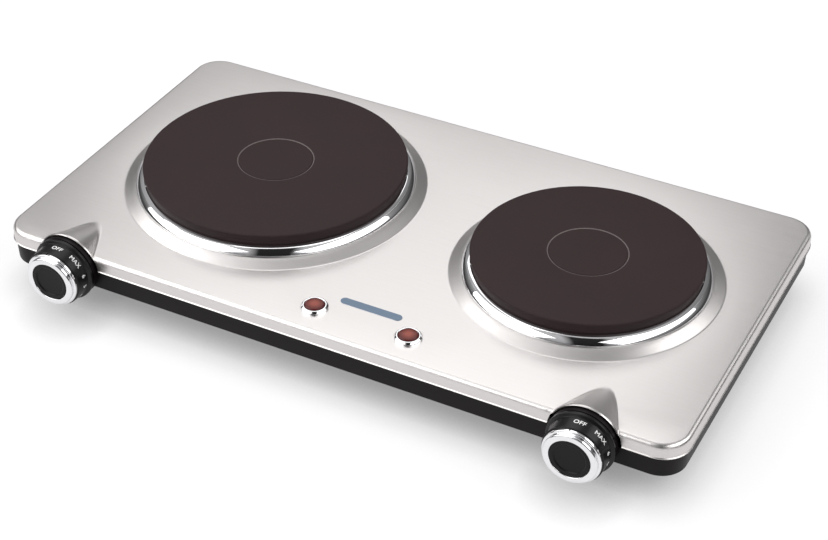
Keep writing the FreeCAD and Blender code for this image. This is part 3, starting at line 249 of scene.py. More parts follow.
@dataclass
class SheetPlan:
    """An outline with openings, filled with triangles in plan and raised to a pressed sheet."""

    outline: list[Point]
    openings: list[list[Point]] = field(default_factory=list)
    creases: list[list[Point]] = field(default_factory=list)
    runs: list[list[Point]] = field(default_factory=list)
    spots: list[Point] = field(default_factory=list)

    def filled(self) -> tuple[list[Vector], list[list[int]]]:
        """Fill the plan.

        Returns:
            The points in plan, and the triangles that lie on the sheet.
        """
        coords: list[Vector] = []
        edges: list[tuple[int, int]] = []
        for line in [self.outline, *self.openings, *self.creases]:
            first, count = len(coords), len(line)
            coords += [Vector(spot) for spot in line]
            edges += [(first + index, first + (index + 1) % count) for index in range(count)]
        for line in self.runs:
            edges += [(len(coords) + index, len(coords) + index + 1) for index in range(len(line) - 1)]
            coords += [Vector(spot) for spot in line]
        coords += [Vector(spot) for spot in self.spots]
        verts, _, faces, *_ = delaunay_2d_cdt(coords, edges, [], 0, TOUCH)
        shapes = [Region(self.outline)] + [Region(line) for line in self.openings]
        kept = []
        for face in faces:
            middle = sum((verts[index] for index in face), Vector((0.0, 0.0))) / len(face)
            if shapes[0].holds(middle) and not any(shape.holds(middle) for shape in shapes[1:]):
                kept.append(face)
        return verts, kept

    def raised(self, height: Callable[[float, float], float], facing: int = 1) -> Shape:
        """Fill the plan and lift it.

        Args:
            height: Gives the sheet's height at a spot.
            facing: 1 for an outer face that looks up, -1 for one that looks down.

        Returns:
            An open sheet of triangles.
        """
        verts, faces = self.filled()
        shape = bmesh.new()
        lifted = [shape.verts.new((spot.x, spot.y, height(spot.x, spot.y))) for spot in verts]
        for face in faces:
            made = shape.faces.new([lifted[index] for index in face])
            made.normal_update()
            if made.normal.z * facing < 0:
                made.normal_flip()
        bmesh.ops.delete(shape, geom=[vert for vert in shape.verts if not vert.link_faces], context="VERTS")
        return shape


@dataclass
class Region:
    """The inside of a closed line in plan."""

    line: list[Point]
    low: Point = field(init=False)
    high: Point = field(init=False)

    def __post_init__(self) -> None:
        """Keep the line's box for a quick first test."""
        self.low = (min(x for x, _ in self.line), min(y for _, y in self.line))
        self.high = (max(x for x, _ in self.line), max(y for _, y in self.line))

    def holds(self, spot: Vector) -> bool:
        """Tell whether a spot lies inside the line."""
        x, y = spot
        if not (self.low[0] <= x <= self.high[0] and self.low[1] <= y <= self.high[1]):
            return False
        inside = False
        for (x1, y1), (x2, y2) in zip(self.line, self.line[1:] + self.line[:1]):
            if (y1 > y) != (y2 > y) and x < x1 + (y - y1) * (x2 - x1) / (y2 - y1):
                inside = not inside
        return inside


def plate_shape(plan: SheetPlan, thickness: float, place: Matrix) -> Shape:
    """Make a flat plate of a plan, from its face down to its back."""
    shape = plan.raised(lambda x, y: 0.0)
    back = bmesh.ops.extrude_face_region(shape, geom=shape.faces[:])["geom"]
    moved = [item for item in back if isinstance(item, bmesh.types.BMVert)]
    bmesh.ops.translate(shape, verts=moved, vec=(0.0, 0.0, -thickness))
    bmesh.ops.recalc_face_normals(shape, faces=shape.faces)
    shape.transform(place)
    return shape


@dataclass(frozen=True)
class RoundedPlan:
    """A rectangle with round corners, about a middle, and lines drawn at a distance outside it."""

    middle: Point
    half_width: float
    half_depth: float
    corner: float
    corner_steps: int = 16

    def line(self, out: float, run: float = 6 * MM) -> list[Point]:
        """Draw the outline at a distance outside the rectangle, with its straight runs divided evenly."""
        radius = self.corner + out
        across = self.half_width + out - radius
        deep = self.half_depth + out - radius
        line: list[Point] = []
        for quarter, (sign_x, sign_y) in enumerate(((1, 1), (-1, 1), (-1, -1), (1, -1))):
            for step in range(self.corner_steps + 1):
                turn = math.pi / 2 * (quarter + step / self.corner_steps)
                x = self.middle[0] + sign_x * across + radius * math.cos(turn)
                y = self.middle[1] + sign_y * deep + radius * math.sin(turn)
                line.append((x, y))
            length = 2 * (across if quarter % 2 == 0 else deep)
            parts = max(round(length / run), 1)
            way = (-sign_x, 0) if quarter % 2 == 0 else (0, -sign_y)
            for part in range(1, parts):
                go = length * part / parts
                line.append((x + way[0] * go, y + way[1] * go))
        return line

    def outside(self, x: float, y: float) -> float:
        """Measure how far a spot lies outside the rectangle; inside it is negative."""
        across = abs(x - self.middle[0]) - (self.half_width - self.corner)
        deep = abs(y - self.middle[1]) - (self.half_depth - self.corner)
        return math.hypot(max(across, 0.0), max(deep, 0.0)) + min(max(across, deep), 0.0) - self.corner

    def outward(self, x: float, y: float) -> Vector:
        """Give the level direction that leads straight out from a spot near the edge."""
        across = max(abs(x - self.middle[0]) - (self.half_width - self.corner), 0.0)
        deep = max(abs(y - self.middle[1]) - (self.half_depth - self.corner), 0.0)
        way = Vector((math.copysign(across, x - self.middle[0]), math.copysign(deep, y - self.middle[1]), 0.0))
        return way.normalized()


def height_on(line: Sequence[Point], across: float) -> float:
    """Read the height of a section line that runs steadily across."""
    if across <= line[0][0]:
        return line[0][1]
    for (left, low), (right, high) in zip(line, line[1:]):
        if across <= right:
            return mixed(low, high, (across - left) / (right - left))
    return line[-1][1]


def add_thickness(piece: Piece, thickness: float) -> Piece:
    """Give an open sheet its wall, behind its outer face."""
    wall = piece.modifiers.new("wall", "SOLIDIFY")
    wall.thickness = thickness
    wall.offset = -1
    wall.use_quality_normals = True
    return baked(piece)


# Node trees


@dataclass
class NodeBoard:
    """A node tree with short calls for adding and linking nodes."""

    tree: bpy.types.NodeTree

    def feed(self, socket: Socket, value: Input) -> None:
        """Link a socket to another, or set its value."""
        if isinstance(value, Socket):
            self.tree.links.new(value, socket)
        else:
            socket.default_value = value

    def add(
        self, kind: str, inputs: dict[str | int, Input] | None = None, **settings: object
    ) -> bpy.types.Node:
        """Add a node with its settings, then feed its inputs."""
        node = self.tree.nodes.new(kind)
        for name, value in settings.items():
            setattr(node, name, value)
        self.fill(node, inputs or {})
        return node

    def fill(self, node: bpy.types.Node, inputs: dict[str | int, Input]) -> None:
        """Feed several inputs of a node."""
        for name, value in inputs.items():
            self.feed(node.inputs[name], value)

    def sum(self, operation: str, first: Input, second: Input) -> Socket:
        """Combine two numbers."""
        return self.add("ShaderNodeMath", {0: first, 1: second}, operation=operation).outputs[0]

    def shared(self, first: Input, second: Input, share: float) -> Socket:
        """Add a share of one number to the rest of another."""
        rest = self.sum("MULTIPLY", second, 1.0 - share)
        return self.sum("ADD", self.sum("MULTIPLY", first, share), rest)

    def measured(self, operation: str, first: Input, second: Input = (0.0, 0.0, 0.0)) -> Socket:
        """Turn vectors into a number, such as a length or a dot product."""
        return self.add("ShaderNodeVectorMath", {0: first, 1: second}, operation=operation).outputs["Value"]

    def level(self, way: Input) -> Socket:
        """Drop a vector's upright share."""
        inputs = {0: way, 1: (1.0, 1.0, 0.0)}
        return self.add("ShaderNodeVectorMath", inputs, operation="MULTIPLY").outputs[0]

    def ranged(self, value: Input, source: Point, target: Point) -> Socket:
        """Map a number from one range to another, held at the ends."""
        inputs = {"Value": value, 1: source[0], 2: source[1], 3: target[0], 4: target[1]}
        return self.add("ShaderNodeMapRange", inputs).outputs["Result"]

    def ramp(self, share: Input, stops: Sequence[tuple[float, Colour]]) -> Socket:
        """Turn a number into a colour by stops along a ramp."""
        node = self.add("ShaderNodeValToRGB", {"Fac": share})
        for index, (place, colour) in enumerate(stops):
            bar = node.color_ramp.elements
            stop = bar[index] if index < 2 else bar.new(place)
            stop.position = place
            stop.color = (*colour, 1.0)
        return node.outputs["Color"]

    def noise(self, lengths: Sequence[float], detail: float = 3.0, rough: float = 0.6) -> Socket:
        """Make noise with a grain of the given lengths along X, Y and Z, in metres."""
        spot = self.add("ShaderNodeTexCoord").outputs["Object"]
        scale = tuple(1 / length for length in lengths)
        mapped = self.add("ShaderNodeMapping", {"Vector": spot, "Scale": scale}).outputs["Vector"]
        inputs = {"Vector": mapped, "Scale": 1.0, "Detail": detail, "Roughness": rough}
        return self.add("ShaderNodeTexNoise", inputs).outputs["Fac"]

    def blend(self, share: Input, first: Input, second: Colour) -> Socket:
        """Blend from one colour to another."""
        node = self.add("ShaderNodeMix", {0: share, 6: first, 7: (*second, 1.0)}, data_type="RGBA")
        return node.outputs[2]

    def reach(self, middle: Sequence[float]) -> Socket:
        """Measure the level distance from an upright axis through a point."""
        spot = self.add("ShaderNodeTexCoord").outputs["Object"]
        shift = tuple(-value for value in middle)
        local = self.add("ShaderNodeMapping", {"Vector": spot, "Location": shift}).outputs["Vector"]
        return self.measured("LENGTH", self.level(local))

    def bump(self, height: Input, depth: float, strength: float = 1.0) -> Socket:
        """Turn a height into a bumped normal, with its depth in metres."""
        inputs = {"Height": height, "Distance": depth, "Strength": strength}
        return self.add("ShaderNodeBump", inputs).outputs["Normal"]


# Finishes


@dataclass(frozen=True)
class Finish:
    """A surface finish, which makes its material once."""

    name: str

    def material(self) -> bpy.types.Material:
        """Give the finish's material."""
        made = bpy.data.materials.get(self.name)
        if made is None:
            made = bpy.data.materials.new(self.name)
            made.use_nodes = True
            self.paint(NodeBoard(made.node_tree), made.node_tree.nodes["Principled BSDF"])
        return made

    def paint(self, board: NodeBoard, shader: bpy.types.Node) -> None:
        """Build the finish's nodes."""
        raise NotImplementedError


@dataclass(frozen=True)
class BrushedSteel(Finish):
    """Steel with fine straight scratches along X."""

    tone: Colour = (0.785, 0.757, 0.743)
    shade: Colour = (0.735, 0.709, 0.696)
    roughness: Point = (0.3, 0.37)
    scratch: Lengths = (14 * MM, 0.22 * MM, 0.22 * MM)
    band: Lengths = (90 * MM, 1.5 * MM, 1.5 * MM)
    depth: float = 0.008 * MM
    sweep: float = 0.7

    def paint(self, board: NodeBoard, shader: bpy.types.Node) -> None:
        """Mix fine scratches with broader bands in colour, gloss and bump."""
        fine = board.noise(self.scratch, 4.0, 0.7)
        broad = board.noise(self.band, 2.0)
        streak = board.shared(fine, broad, 0.75)
        along = board.add("ShaderNodeTangent", direction_type="UV_MAP", uv_map=GRAIN_UV)
        looks = {
            "Base Color": board.ramp(streak, [(0.28, self.shade), (0.62, self.tone)]),
            "Roughness": board.ranged(streak, (0.3, 0.7), self.roughness),
            "Normal": board.bump(fine, self.depth),
            "Metallic": 1.0,
            "Anisotropic": self.sweep,
            "Tangent": along.outputs["Tangent"],
        }
        board.fill(shader, looks)


@dataclass(frozen=True)
class BrightMetal(Finish):
    """Plated or polished metal with faint smears."""

    tone: Colour = (0.92, 0.92, 0.93)
    shade: Colour = (0.87, 0.87, 0.88)
    roughness: Point = (0.025, 0.075)
    smear: float = 14 * MM

    def paint(self, board: NodeBoard, shader: bpy.types.Node) -> None:
        """Vary the gloss and tone a little over the surface."""
        smear = board.noise((self.smear,) * 3, 4.0)
        colour = board.ramp(smear, [(0.3, self.shade), (0.6, self.tone)])
        gloss = board.ranged(smear, (0.35, 0.7), self.roughness)
        board.fill(shader, {"Base Color": colour, "Roughness": gloss, "Metallic": 1.0})


@dataclass(frozen=True)
class CastIron(Finish):
    """Cast iron with a baked, finely sanded coat, and a painted highlight line along the ring groove's edge."""

    middle: Place = (0.0, 0.0, 0.0)
    groove: Point = (25.6 * MM, 26.4 * MM)
    tone: Colour = (0.0365, 0.0215, 0.0225)
    shade: Colour = (0.028, 0.0163, 0.0172)
    # A pale colour for the painted highlight along the groove's edge, with its fade at the band's sides.
    groove_highlight: Colour = (0.19, 0.165, 0.16)
    highlight_fade: float = 0.25 * MM
    roughness: Point = (0.52, 0.66)
    cloud: float = 45 * MM
    grain: float = 0.55 * MM
    depth: float = 0.05 * MM
    gloss: float = 0.2

    def paint(self, board: NodeBoard, shader: bpy.types.Node) -> None:
        """Cloud the colour, roughen the face with a fine grain and paint a pale highlight line beside the groove.
        """
        cloud = board.noise((self.cloud,) * 3, 3.0)
        grain = board.noise((self.grain,) * 3, 3.0, 0.65)
        mix = board.shared(cloud, grain, 0.6)
        coat = board.ramp(mix, [(0.32, self.shade), (0.66, self.tone)])
        reach = board.reach(self.middle)
        # The pale band over the groove's outer wall is a painted highlight, faded at its sides.
        start, end = self.groove
        inner = board.ranged(reach, (start - self.highlight_fade, start), (0.0, 1.0))
        outer = board.ranged(reach, (end, end + self.highlight_fade), (1.0, 0.0))
        patchy = board.ranged(grain, (0.3, 0.6), (0.5, 1.0))
        # Mask of the painted highlight band, broken up by the grain.
        bare = board.sum("MULTIPLY", board.sum("MULTIPLY", inner, outer), patchy)
        looks = {
            "Base Color": board.blend(bare, coat, self.groove_highlight),
            "Roughness": board.ranged(mix, (0.3, 0.7), self.roughness),
            "Normal": board.bump(grain, self.depth),
            "Specular IOR Level": self.gloss,
        }
        board.fill(shader, looks)


@dataclass(frozen=True)
class Coated(Finish):
    """Paint, plastic, rubber or ceramic with a fine texture in colour, gloss and bump."""

    tone: Colour = (0.0095, 0.007, 0.0075)
    shade: Colour = (0.007, 0.0052, 0.0055)
    roughness: Point = (0.36, 0.48)
    grain: float = 0.9 * MM
    depth: float = 0.02 * MM
    gloss: float = 0.16
    patch: float = 40.0

    def paint(self, board: NodeBoard, shader: bpy.types.Node) -> None:
        """Lay the fine texture over the tone."""
        grain = board.noise((self.grain,) * 3, 3.0)
        patch = board.noise((self.patch * self.grain,) * 3, 2.0)
        mix = board.shared(grain, patch, 0.5)
        looks = {
            "Base Color": board.ramp(mix, [(0.32, self.shade), (0.66, self.tone)]),
            "Roughness": board.ranged(mix, (0.3, 0.7), self.roughness),
            "Normal": board.bump(grain, self.depth),
            "Specular IOR Level": self.gloss,
        }
        board.fill(shader, looks)


@dataclass(frozen=True)
class PlainMetal(Finish):
    """Sheet, zinc, brass or tube steel with a drawn or rolled look."""

    tone: Colour = (0.66, 0.66, 0.67)
    shade: Colour = (0.5, 0.5, 0.51)
    roughness: Point = (0.28, 0.48)
    grain: Lengths = (3 * MM, 0.6 * MM, 0.6 * MM)

    def paint(self, board: NodeBoard, shader: bpy.types.Node) -> None:
        """Streak the metal lightly."""
        grain = board.noise(self.grain, 4.0)
        colour = board.ramp(grain, [(0.3, self.shade), (0.65, self.tone)])
        gloss = board.ranged(grain, (0.3, 0.7), self.roughness)
        board.fill(shader, {"Base Color": colour, "Roughness": gloss, "Metallic": 1.0})


@dataclass(frozen=True)
class TintedLens(Finish):
    """Red lens with fine moulded rings round its middle."""

    middle: Place = (0.0, 0.0, 0.0)
    radius: float = 6.5 * MM
    tone: Colour = (0.31, 0.069, 0.047)
    edge: Colour = (0.09, 0.01, 0.009)
    roughness: Point = (0.12, 0.22)
    pitch: float = 0.7 * MM
    speck: float = 0.8 * MM
    depth: float = 0.05 * MM
    gloss: float = 0.25
    coat: Point = (0.2, 0.05)

    def paint(self, board: NodeBoard, shader: bpy.types.Node) -> None:
        """Darken the tint towards the rim and mould the rings in."""
        reach = board.reach(self.middle)
        share = board.sum("DIVIDE", reach, self.radius)
        wave = board.sum("SINE", board.sum("MULTIPLY", reach, math.tau / self.pitch), 0.0)
        speck = board.noise((self.speck,) * 3, 2.0)
        mix = board.sum("ADD", share, board.sum("MULTIPLY", speck, 0.25))
        looks = {
            "Base Color": board.ramp(mix, [(0.35, self.tone), (1.0, self.edge)]),
            "Roughness": board.ranged(speck, (0.3, 0.7), self.roughness),
            "Normal": board.bump(wave, self.depth, 0.6),
            "Specular IOR Level": self.gloss,
            "Coat Weight": self.coat[0],
            "Coat Roughness": self.coat[1],
        }
        board.fill(shader, looks)


@dataclass(frozen=True)
class PaleFloor(Finish):
    """A floor that looks white where it is open and keeps a soft shadow."""

    tone: Colour = (0.33, 0.322, 0.332)
    shade: Colour = (0.315, 0.307, 0.317)
    roughness: float = 0.9
    cloud: float = 0.4
    glow: float = 0.72
    mirrored: float = 0.8
    contact: float = 30 * MM
    mirror_reach: Point = (0.3, 0.9)
    mirror_end: float = 0.25

    def paint(self, board: NodeBoard, shader: bpy.types.Node) -> None:
        """Add a glow for the eye, reflections and glass, less of it close under the part."""
        cloud = board.noise((self.cloud,) * 3, 2.0)
        path = board.add("ShaderNodeLightPath").outputs
        place = board.add("ShaderNodeTexCoord").outputs["Object"]
        away = board.measured("LENGTH", place)
        mirrored = board.ranged(away, self.mirror_reach, (self.mirrored, self.mirrored * self.mirror_end))
        mirrored = board.sum("MULTIPLY", path["Is Glossy Ray"], mirrored)
        seen = board.sum("MAXIMUM", path["Is Camera Ray"], mirrored)
        seen = board.sum("MAXIMUM", seen, path["Is Transmission Ray"])
        near = board.add("ShaderNodeAmbientOcclusion", {"Distance": self.contact}, samples=8)
        glow = board.sum("MULTIPLY", near.outputs["AO"], self.glow)
        looks = {
            "Base Color": board.ramp(cloud, [(0.3, self.shade), (0.7, self.tone)]),
            "Roughness": self.roughness,
            "Specular IOR Level": 0.0,
            "Emission Color": (1.0, 1.0, 1.0, 1.0),
            "Emission Strength": board.sum("MULTIPLY", seen, glow),
        }
        board.fill(shader, looks)


STEEL_TOP = BrushedSteel("brushed steel")
CHROME = BrightMetal("bright chrome")
IRON = CastIron("cast iron")
BLACK_PAINT = Coated("black paint")
KNOB_BLACK = Coated(
    "knob black",
    tone=(0.009, 0.0085, 0.009),
    shade=(0.006, 0.0056, 0.006),
    roughness=(0.26, 0.34),
    depth=0.005 * MM,
    gloss=0.3,
)
CAP_BLACK = Coated(
    "cap black",
    tone=(0.016, 0.0145, 0.015),
    shade=(0.011, 0.01, 0.0105),
    roughness=(0.26, 0.36),
    depth=0.01 * MM,
)
DIAL_WHITE = Coated(
    "dial white", tone=(0.95, 0.95, 0.94), shade=(0.9, 0.9, 0.89), roughness=(0.4, 0.55), depth=0.004 * MM
)
BADGE_BLUE = PlainMetal(
    "badge blue",
    tone=(0.2, 0.26, 0.34),
    shade=(0.14, 0.19, 0.26),
    roughness=(0.3, 0.42),
    grain=(12 * MM, 0.3 * MM, 0.3 * MM),
)
RUBBER = Coated(
    "black rubber",
    tone=(0.026, 0.025, 0.025),
    shade=(0.015, 0.0145, 0.0145),
    roughness=(0.6, 0.8),
    depth=0.05 * MM,
)
ZINC = PlainMetal("zinc steel")
SHEET = PlainMetal(
    "rolled sheet", tone=(0.6, 0.6, 0.6), shade=(0.46, 0.46, 0.46), grain=(9 * MM, 0.8 * MM, 2 * MM)
)
TUBE = PlainMetal("oxidised tube", tone=(0.2, 0.19, 0.17), shade=(0.09, 0.085, 0.08), roughness=(0.45, 0.65))
BRASS = PlainMetal("drawn brass", tone=(0.78, 0.6, 0.3), shade=(0.6, 0.44, 0.2))
CERAMIC = Coated(
    "white ceramic", tone=(0.75, 0.72, 0.65), shade=(0.62, 0.59, 0.52), roughness=(0.5, 0.7), depth=0.03 * MM
)
SLEEVE = Coated(
    "woven sleeve",
    tone=(0.72, 0.69, 0.62),
    shade=(0.5, 0.47, 0.42),
    roughness=(0.7, 0.9),
    grain=0.4 * MM,
    depth=0.08 * MM,
)
NEON = Coated(
    "neon glass", tone=(0.6, 0.3, 0.2), shade=(0.45, 0.2, 0.13), roughness=(0.08, 0.2), depth=0.003 * MM
)

SLOT_FINISH: dict[str, Finish] = {
    "brushed_top": SHEET,
    "black_paint": BLACK_PAINT,
    "iron": IRON,
    "bright_trim": CHROME,
    "knob_black": KNOB_BLACK,
    "lamp_red": NEON,
    "element_steel": TUBE,
    "inner_sheet": SHEET,
    "fixing_steel": ZINC,
    "insulator": CERAMIC,
    "brass_contact": BRASS,
    "lamp_glass": NEON,
    "lead_cover": SLEEVE,
    "black_rubber": RUBBER,
}


# Places read from the frame


def middle_of(node: str) -> Vector:
    """Give the middle of a node's box."""
    low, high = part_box(node)
    return (low + high) / 2


def knob_axis(side: Side) -> Vector:
    """Give a point on one knob's axis."""
    joint = next(item for item in frame["joints"] if item["child"] == f"{side.value}_knob")
    return Vector(joint["pos_m"])


@dataclass(frozen=True)
class Disc:
    """A round place in plan, with the heights of what stands there."""

    centre: Point
    radius: float
    low_z: float
    high_z: float

    @classmethod
    def of(cls, node: str) -> "Disc":
        """Read a round upright node's place from the frame."""
        low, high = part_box(node)
        middle = (low + high) / 2
        return cls((middle.x, middle.y), (high.x - low.x) / 2, low.z, high.z)

    @property
    def foot(self) -> Vector:
        """Give the point under the disc's middle, on the table."""
        return Vector((*self.centre, 0.0))


# Steel top


MOUTH_ROWS = (0.0, 0.12, 0.3, 0.55, 0.8, 1.1, 1.6)
HUMP_ROWS = tuple(2.3 + 0.9 * step for step in range(42))
BESIDE_HUMP = (0.6, 1.5, 2.7, 4.2)
BLEND_RINGS = (-2.2, -1.6, -1.1, -0.7, -0.35, 0.0, 0.35, 0.7, 1.1, 1.6, 2.2)
CONE_RINGS = (0.35, 0.5, 0.65)


@dataclass
class SteelTop:
    """The pressed steel top with its bent edge, burner rims and knob humps."""

    sheet: float = 0.8 * MM
    corner: float = 19.0 * MM
    bend: float = 3.4 * MM
    flare_out: float = 0.15 * MM
    flare_drop: float = 8.6 * MM
    lip_drop: float = 1.6 * MM
    hem: float = 0.5 * MM
    rim_foot_gap: float = 13.4 * MM
    rim_crest_gap: float = 5.3 * MM
    rim_rise: float = 4.3 * MM
    ledge_reach: float = 6.5 * MM
    foot_blend: float = 0.3 * MM
    crest_blend: float = 0.4 * MM
    hump_length: float = 33.5 * MM
    hump_mouth: float = 24.3 * MM
    hump_tip: float = 12.0 * MM
    hump_sink: float = 0.15 * MM
    hump_blend: float = 1.25 * MM
    mouth_roll: float = 1.8 * MM
    hump_steps: int = 22
    edge_run: float = 2.0 * MM
    lamp_gap: float = 1.1 * MM
    lamp_steps: int = 48
    skirt_ring: float = 6.0 * MM
    burner_steps: int = 192
    plan: RoundedPlan = field(init=False)
    lip_z: float = field(init=False)
    face_z: float = field(init=False)
    section: list[Point] = field(init=False)
    burners: list[Disc] = field(init=False)
    knobs: list[Vector] = field(init=False)

    def __post_init__(self) -> None:
        """Read the places from the frame and draw the section of the edge."""
        low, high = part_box("top_cover")
        middle = (low + high) / 2
        lip = Disc.of("left_trim_ring").low_z - self.rim_rise - self.flare_drop - self.lip_drop
        half_width = (high.x - low.x) / 2 - self.flare_out - self.hem
        half_depth = (high.y - low.y) / 2 - self.flare_out - self.hem
        self.plan = RoundedPlan((middle.x, middle.y), half_width, half_depth, self.corner)
        self.lip_z = lip
        self.face_z = lip + self.lip_drop + self.flare_drop
        corners = [
            (-2 * self.bend, self.face_z, 0.0),
            (0.0, self.face_z, self.bend),
            (self.flare_out, self.face_z - self.flare_drop, 0.0),
        ]
        self.section = rounded_line(corners, steps=10)[:-1]
        self.burners = [Disc.of(f"{side.value}_plate") for side in Side]
        self.knobs = [knob_axis(side) for side in Side]

    @property
    def front_y(self) -> float:
        """Give the bend's place at the front."""
        return self.plan.middle[1] - self.plan.half_depth

    @property
    def rear_y(self) -> float:
        """Give the bend's place at the rear."""
        return self.plan.middle[1] + self.plan.half_depth

    def rim_rise_at(self, x: float, y: float) -> float:
        """Give the height of the burner rims over the flat face."""
        slope = self.rim_rise / (self.rim_foot_gap - self.rim_crest_gap)
        rise = 0.0
        for disc in self.burners:
            away = math.hypot(x - disc.centre[0], y - disc.centre[1])
            climb = (disc.radius + self.rim_foot_gap - away) * slope
            rise = max(rise, soft_min(soft_max(climb, 0.0, self.foot_blend), self.rim_rise, self.crest_blend))
        return rise

    def hump_section(self, axis: Vector, back: float) -> tuple[float, float]:
        """Give a hump's radius and centre height at a distance behind the bend."""
        share = back / self.hump_length
        radius = mixed(self.hump_mouth, self.hump_tip, share)
        centre_z = mixed(axis.z, self.face_z - self.hump_tip - self.hump_sink, share)
        near = max(1.0 - back / self.mouth_roll, 0.0)
        return radius, centre_z - near * near * self.mouth_roll / 2

    def height(self, x: float, y: float) -> float:
        """Give the height of the steel's outer face."""
        level = height_on(self.section, self.plan.outside(x, y)) + self.rim_rise_at(x, y)
        back = y - self.front_y
        for axis in self.knobs:
            radius, centre_z = self.hump_section(axis, back)
            across = x - axis.x
            if back > -NEAR and radius > abs(across):
                level = soft_max(level, centre_z + math.sqrt(radius**2 - across**2), self.hump_blend)
        return level

    def hump_spots(self, axis: Vector) -> list[Point]:
        """Lay a net of points over one hump, close along its mouth and its sides."""
        spots = []
        for back in [row * MM for row in (*MOUTH_ROWS, *HUMP_ROWS)]:
            radius, centre_z = self.hump_section(axis, back)
            sink = height_on(self.section, -back) - self.hump_blend - centre_z
            if sink >= radius:
                continue
            reach = math.sqrt(radius**2 - max(sink, 0.0) ** 2)
            for step in range(-self.hump_steps, self.hump_steps + 1):
                across = reach * math.sin(math.pi / 2 * step / self.hump_steps)
                spots.append((axis.x + across, self.front_y + back))
        for out, level in self.section[1:-1]:
            radius, centre_z = self.hump_section(axis, max(-out, 0.0))
            half = math.sqrt(radius**2 - (level - centre_z) ** 2)
            for beside in BESIDE_HUMP:
                for sign in (-1, 1):
                    spots.append((axis.x + sign * (half + beside * MM), self.front_y - out))
        return spots

    def mouth_half(self, axis: Vector, level: float) -> float:
        """Give half the width of the opening in front of one knob at a height."""
        return math.sqrt(self.hump_mouth**2 - (level - axis.z) ** 2)

    def notch(self, axis: Vector) -> list[Point]:
        """Draw the opening in the bend in front of one knob."""
        edge = [(0.0, height_on(self.section, 0.0))] + [item for item in self.section if item[0] > 0.0]
        edge.append((2 * self.bend, edge[-1][1]))
        right = [(axis.x + self.mouth_half(axis, level), self.front_y - out) for out, level in edge]
        left = [(2 * axis.x - x, y) for x, y in right]
        half = right[0][0] - axis.x
        mouth = [(axis.x + half * (1 - step / 12), self.front_y) for step in range(25)]
        return left + right[::-1] + mouth

    def clear_of_humps(self, line: list[Point]) -> list[list[Point]]:
        """Break a closed line into the runs that pass beside the humps."""
        reach = self.hump_mouth + self.hump_blend
        runs: list[list[Point]] = [[]]
        for x, y in line + line[:1]:
            if y < self.front_y + self.hump_length and any(abs(x - axis.x) < reach for axis in self.knobs):
                runs.append([])
            else:
                runs[-1].append((x, y))
        return [run for run in runs if len(run) > 1]

    def sheet_plan(self) -> SheetPlan:
        """Draw the plan with its edge lines, burner rings, lamp holes and hump nets."""
        plan = SheetPlan(self.plan.line(self.section[-1][0], self.edge_run))
        for out, _ in self.section[1:-1]:
            plan.runs += self.clear_of_humps(self.plan.line(out, self.edge_run))
        steps = self.burner_steps
        for disc in self.burners:
            foot = disc.radius + self.rim_foot_gap
            crest = disc.radius + self.rim_crest_gap
            radii = [foot + share * MM for share in BLEND_RINGS]
            radii += [crest + share * MM / 2 for share in BLEND_RINGS[2:-2]]
            radii += [mixed(crest, foot, share) for share in CONE_RINGS] + [foot + self.skirt_ring]
            plan.creases += [ring_points(disc.centre, radius, steps) for radius in radii]
            plan.openings.append(ring_points(disc.centre, disc.radius - self.ledge_reach, steps))
        for side in Side:
            lamp = Disc.of(f"{side.value}_lamp_lens")
            plan.openings.append(ring_points(lamp.centre, lamp.radius + self.lamp_gap, self.lamp_steps))
        for axis in self.knobs:
            plan.openings.append(self.notch(axis))
            plan.spots += self.hump_spots(axis)
        return plan

    def build(self) -> None:
        """Press the sheet, turn its flange down and give it the brushed finish."""
        shape = self.sheet_plan().raised(self.height)
        rim = [edge for edge in shape.edges if edge.is_boundary and self.on_rim(edge)]
        out, level = self.section[-1]
        foot_z = self.face_z - self.flare_drop
        rows = [(mixed(out, self.flare_out, share), mixed(level, foot_z, share)) for share in (0.35, 0.7, 1.0)]
        rows += [
            (self.flare_out + share * self.hem, self.lip_z + (1.5 - share) * self.hem) for share in (0, 0.6, 1)
        ]
        for row_out, row_z in [*rows, (self.flare_out + self.hem, self.lip_z)]:
            made = bmesh.ops.extrude_edge_only(shape, edges=rim)["geom"]
            rim = [item for item in made if isinstance(item, bmesh.types.BMEdge) and item.is_boundary]
            rim = [edge for edge in rim if all(vert in made for vert in edge.verts)]
            for vert in [item for item in made if isinstance(item, bmesh.types.BMVert)]:
                self.lower(vert, row_out - out, row_z)
            out = row_out
        bmesh.ops.recalc_face_normals(shape, faces=shape.faces)
        flat = max(shape.faces, key=lambda face: face.calc_area())
        if flat.normal.z < 0:
            bmesh.ops.reverse_faces(shape, faces=shape.faces)
        piece = add_thickness(add_piece("steel_top", shape, STEEL_TOP), self.sheet)
        lay_grain(piece.data)
        settle(piece, HOUSING, ["top_cover"])

    def on_rim(self, edge: bmesh.types.BMEdge) -> bool:
        """Tell whether an edge runs along the end of the bend."""
        end = self.section[-1][0]
        return all(self.plan.outside(*vert.co.xy) > end - NEAR for vert in edge.verts)

    def lower(self, vert: bmesh.types.BMVert, step_out: float, level: float) -> None:
        """Set one point of the flange at its next height, clear of the round openings for the knobs."""
        vert.co += self.plan.outward(*vert.co.xy) * step_out
        if vert.co.y < self.front_y:
            for axis in self.knobs:
                half = self.mouth_half(axis, vert.co.z)
                across = vert.co.x - axis.x
                near = max(1.0 - (abs(across) - half) / self.hump_tip, 0.0)
                vert.co.x += math.copysign(near * (self.mouth_half(axis, level) - half), across)
        vert.co.z = level


def lay_grain(mesh: bpy.types.Mesh) -> None:
    """Give a mesh a flat UV map whose first direction runs across the brushing."""
    layer = mesh.uv_layers.new(name=GRAIN_UV)
    for loop, spot in zip(mesh.loops, layer.uv):
        place = mesh.vertices[loop.vertex_index].co
        spot.vector = (place.y + place.z, place.x)


# Base


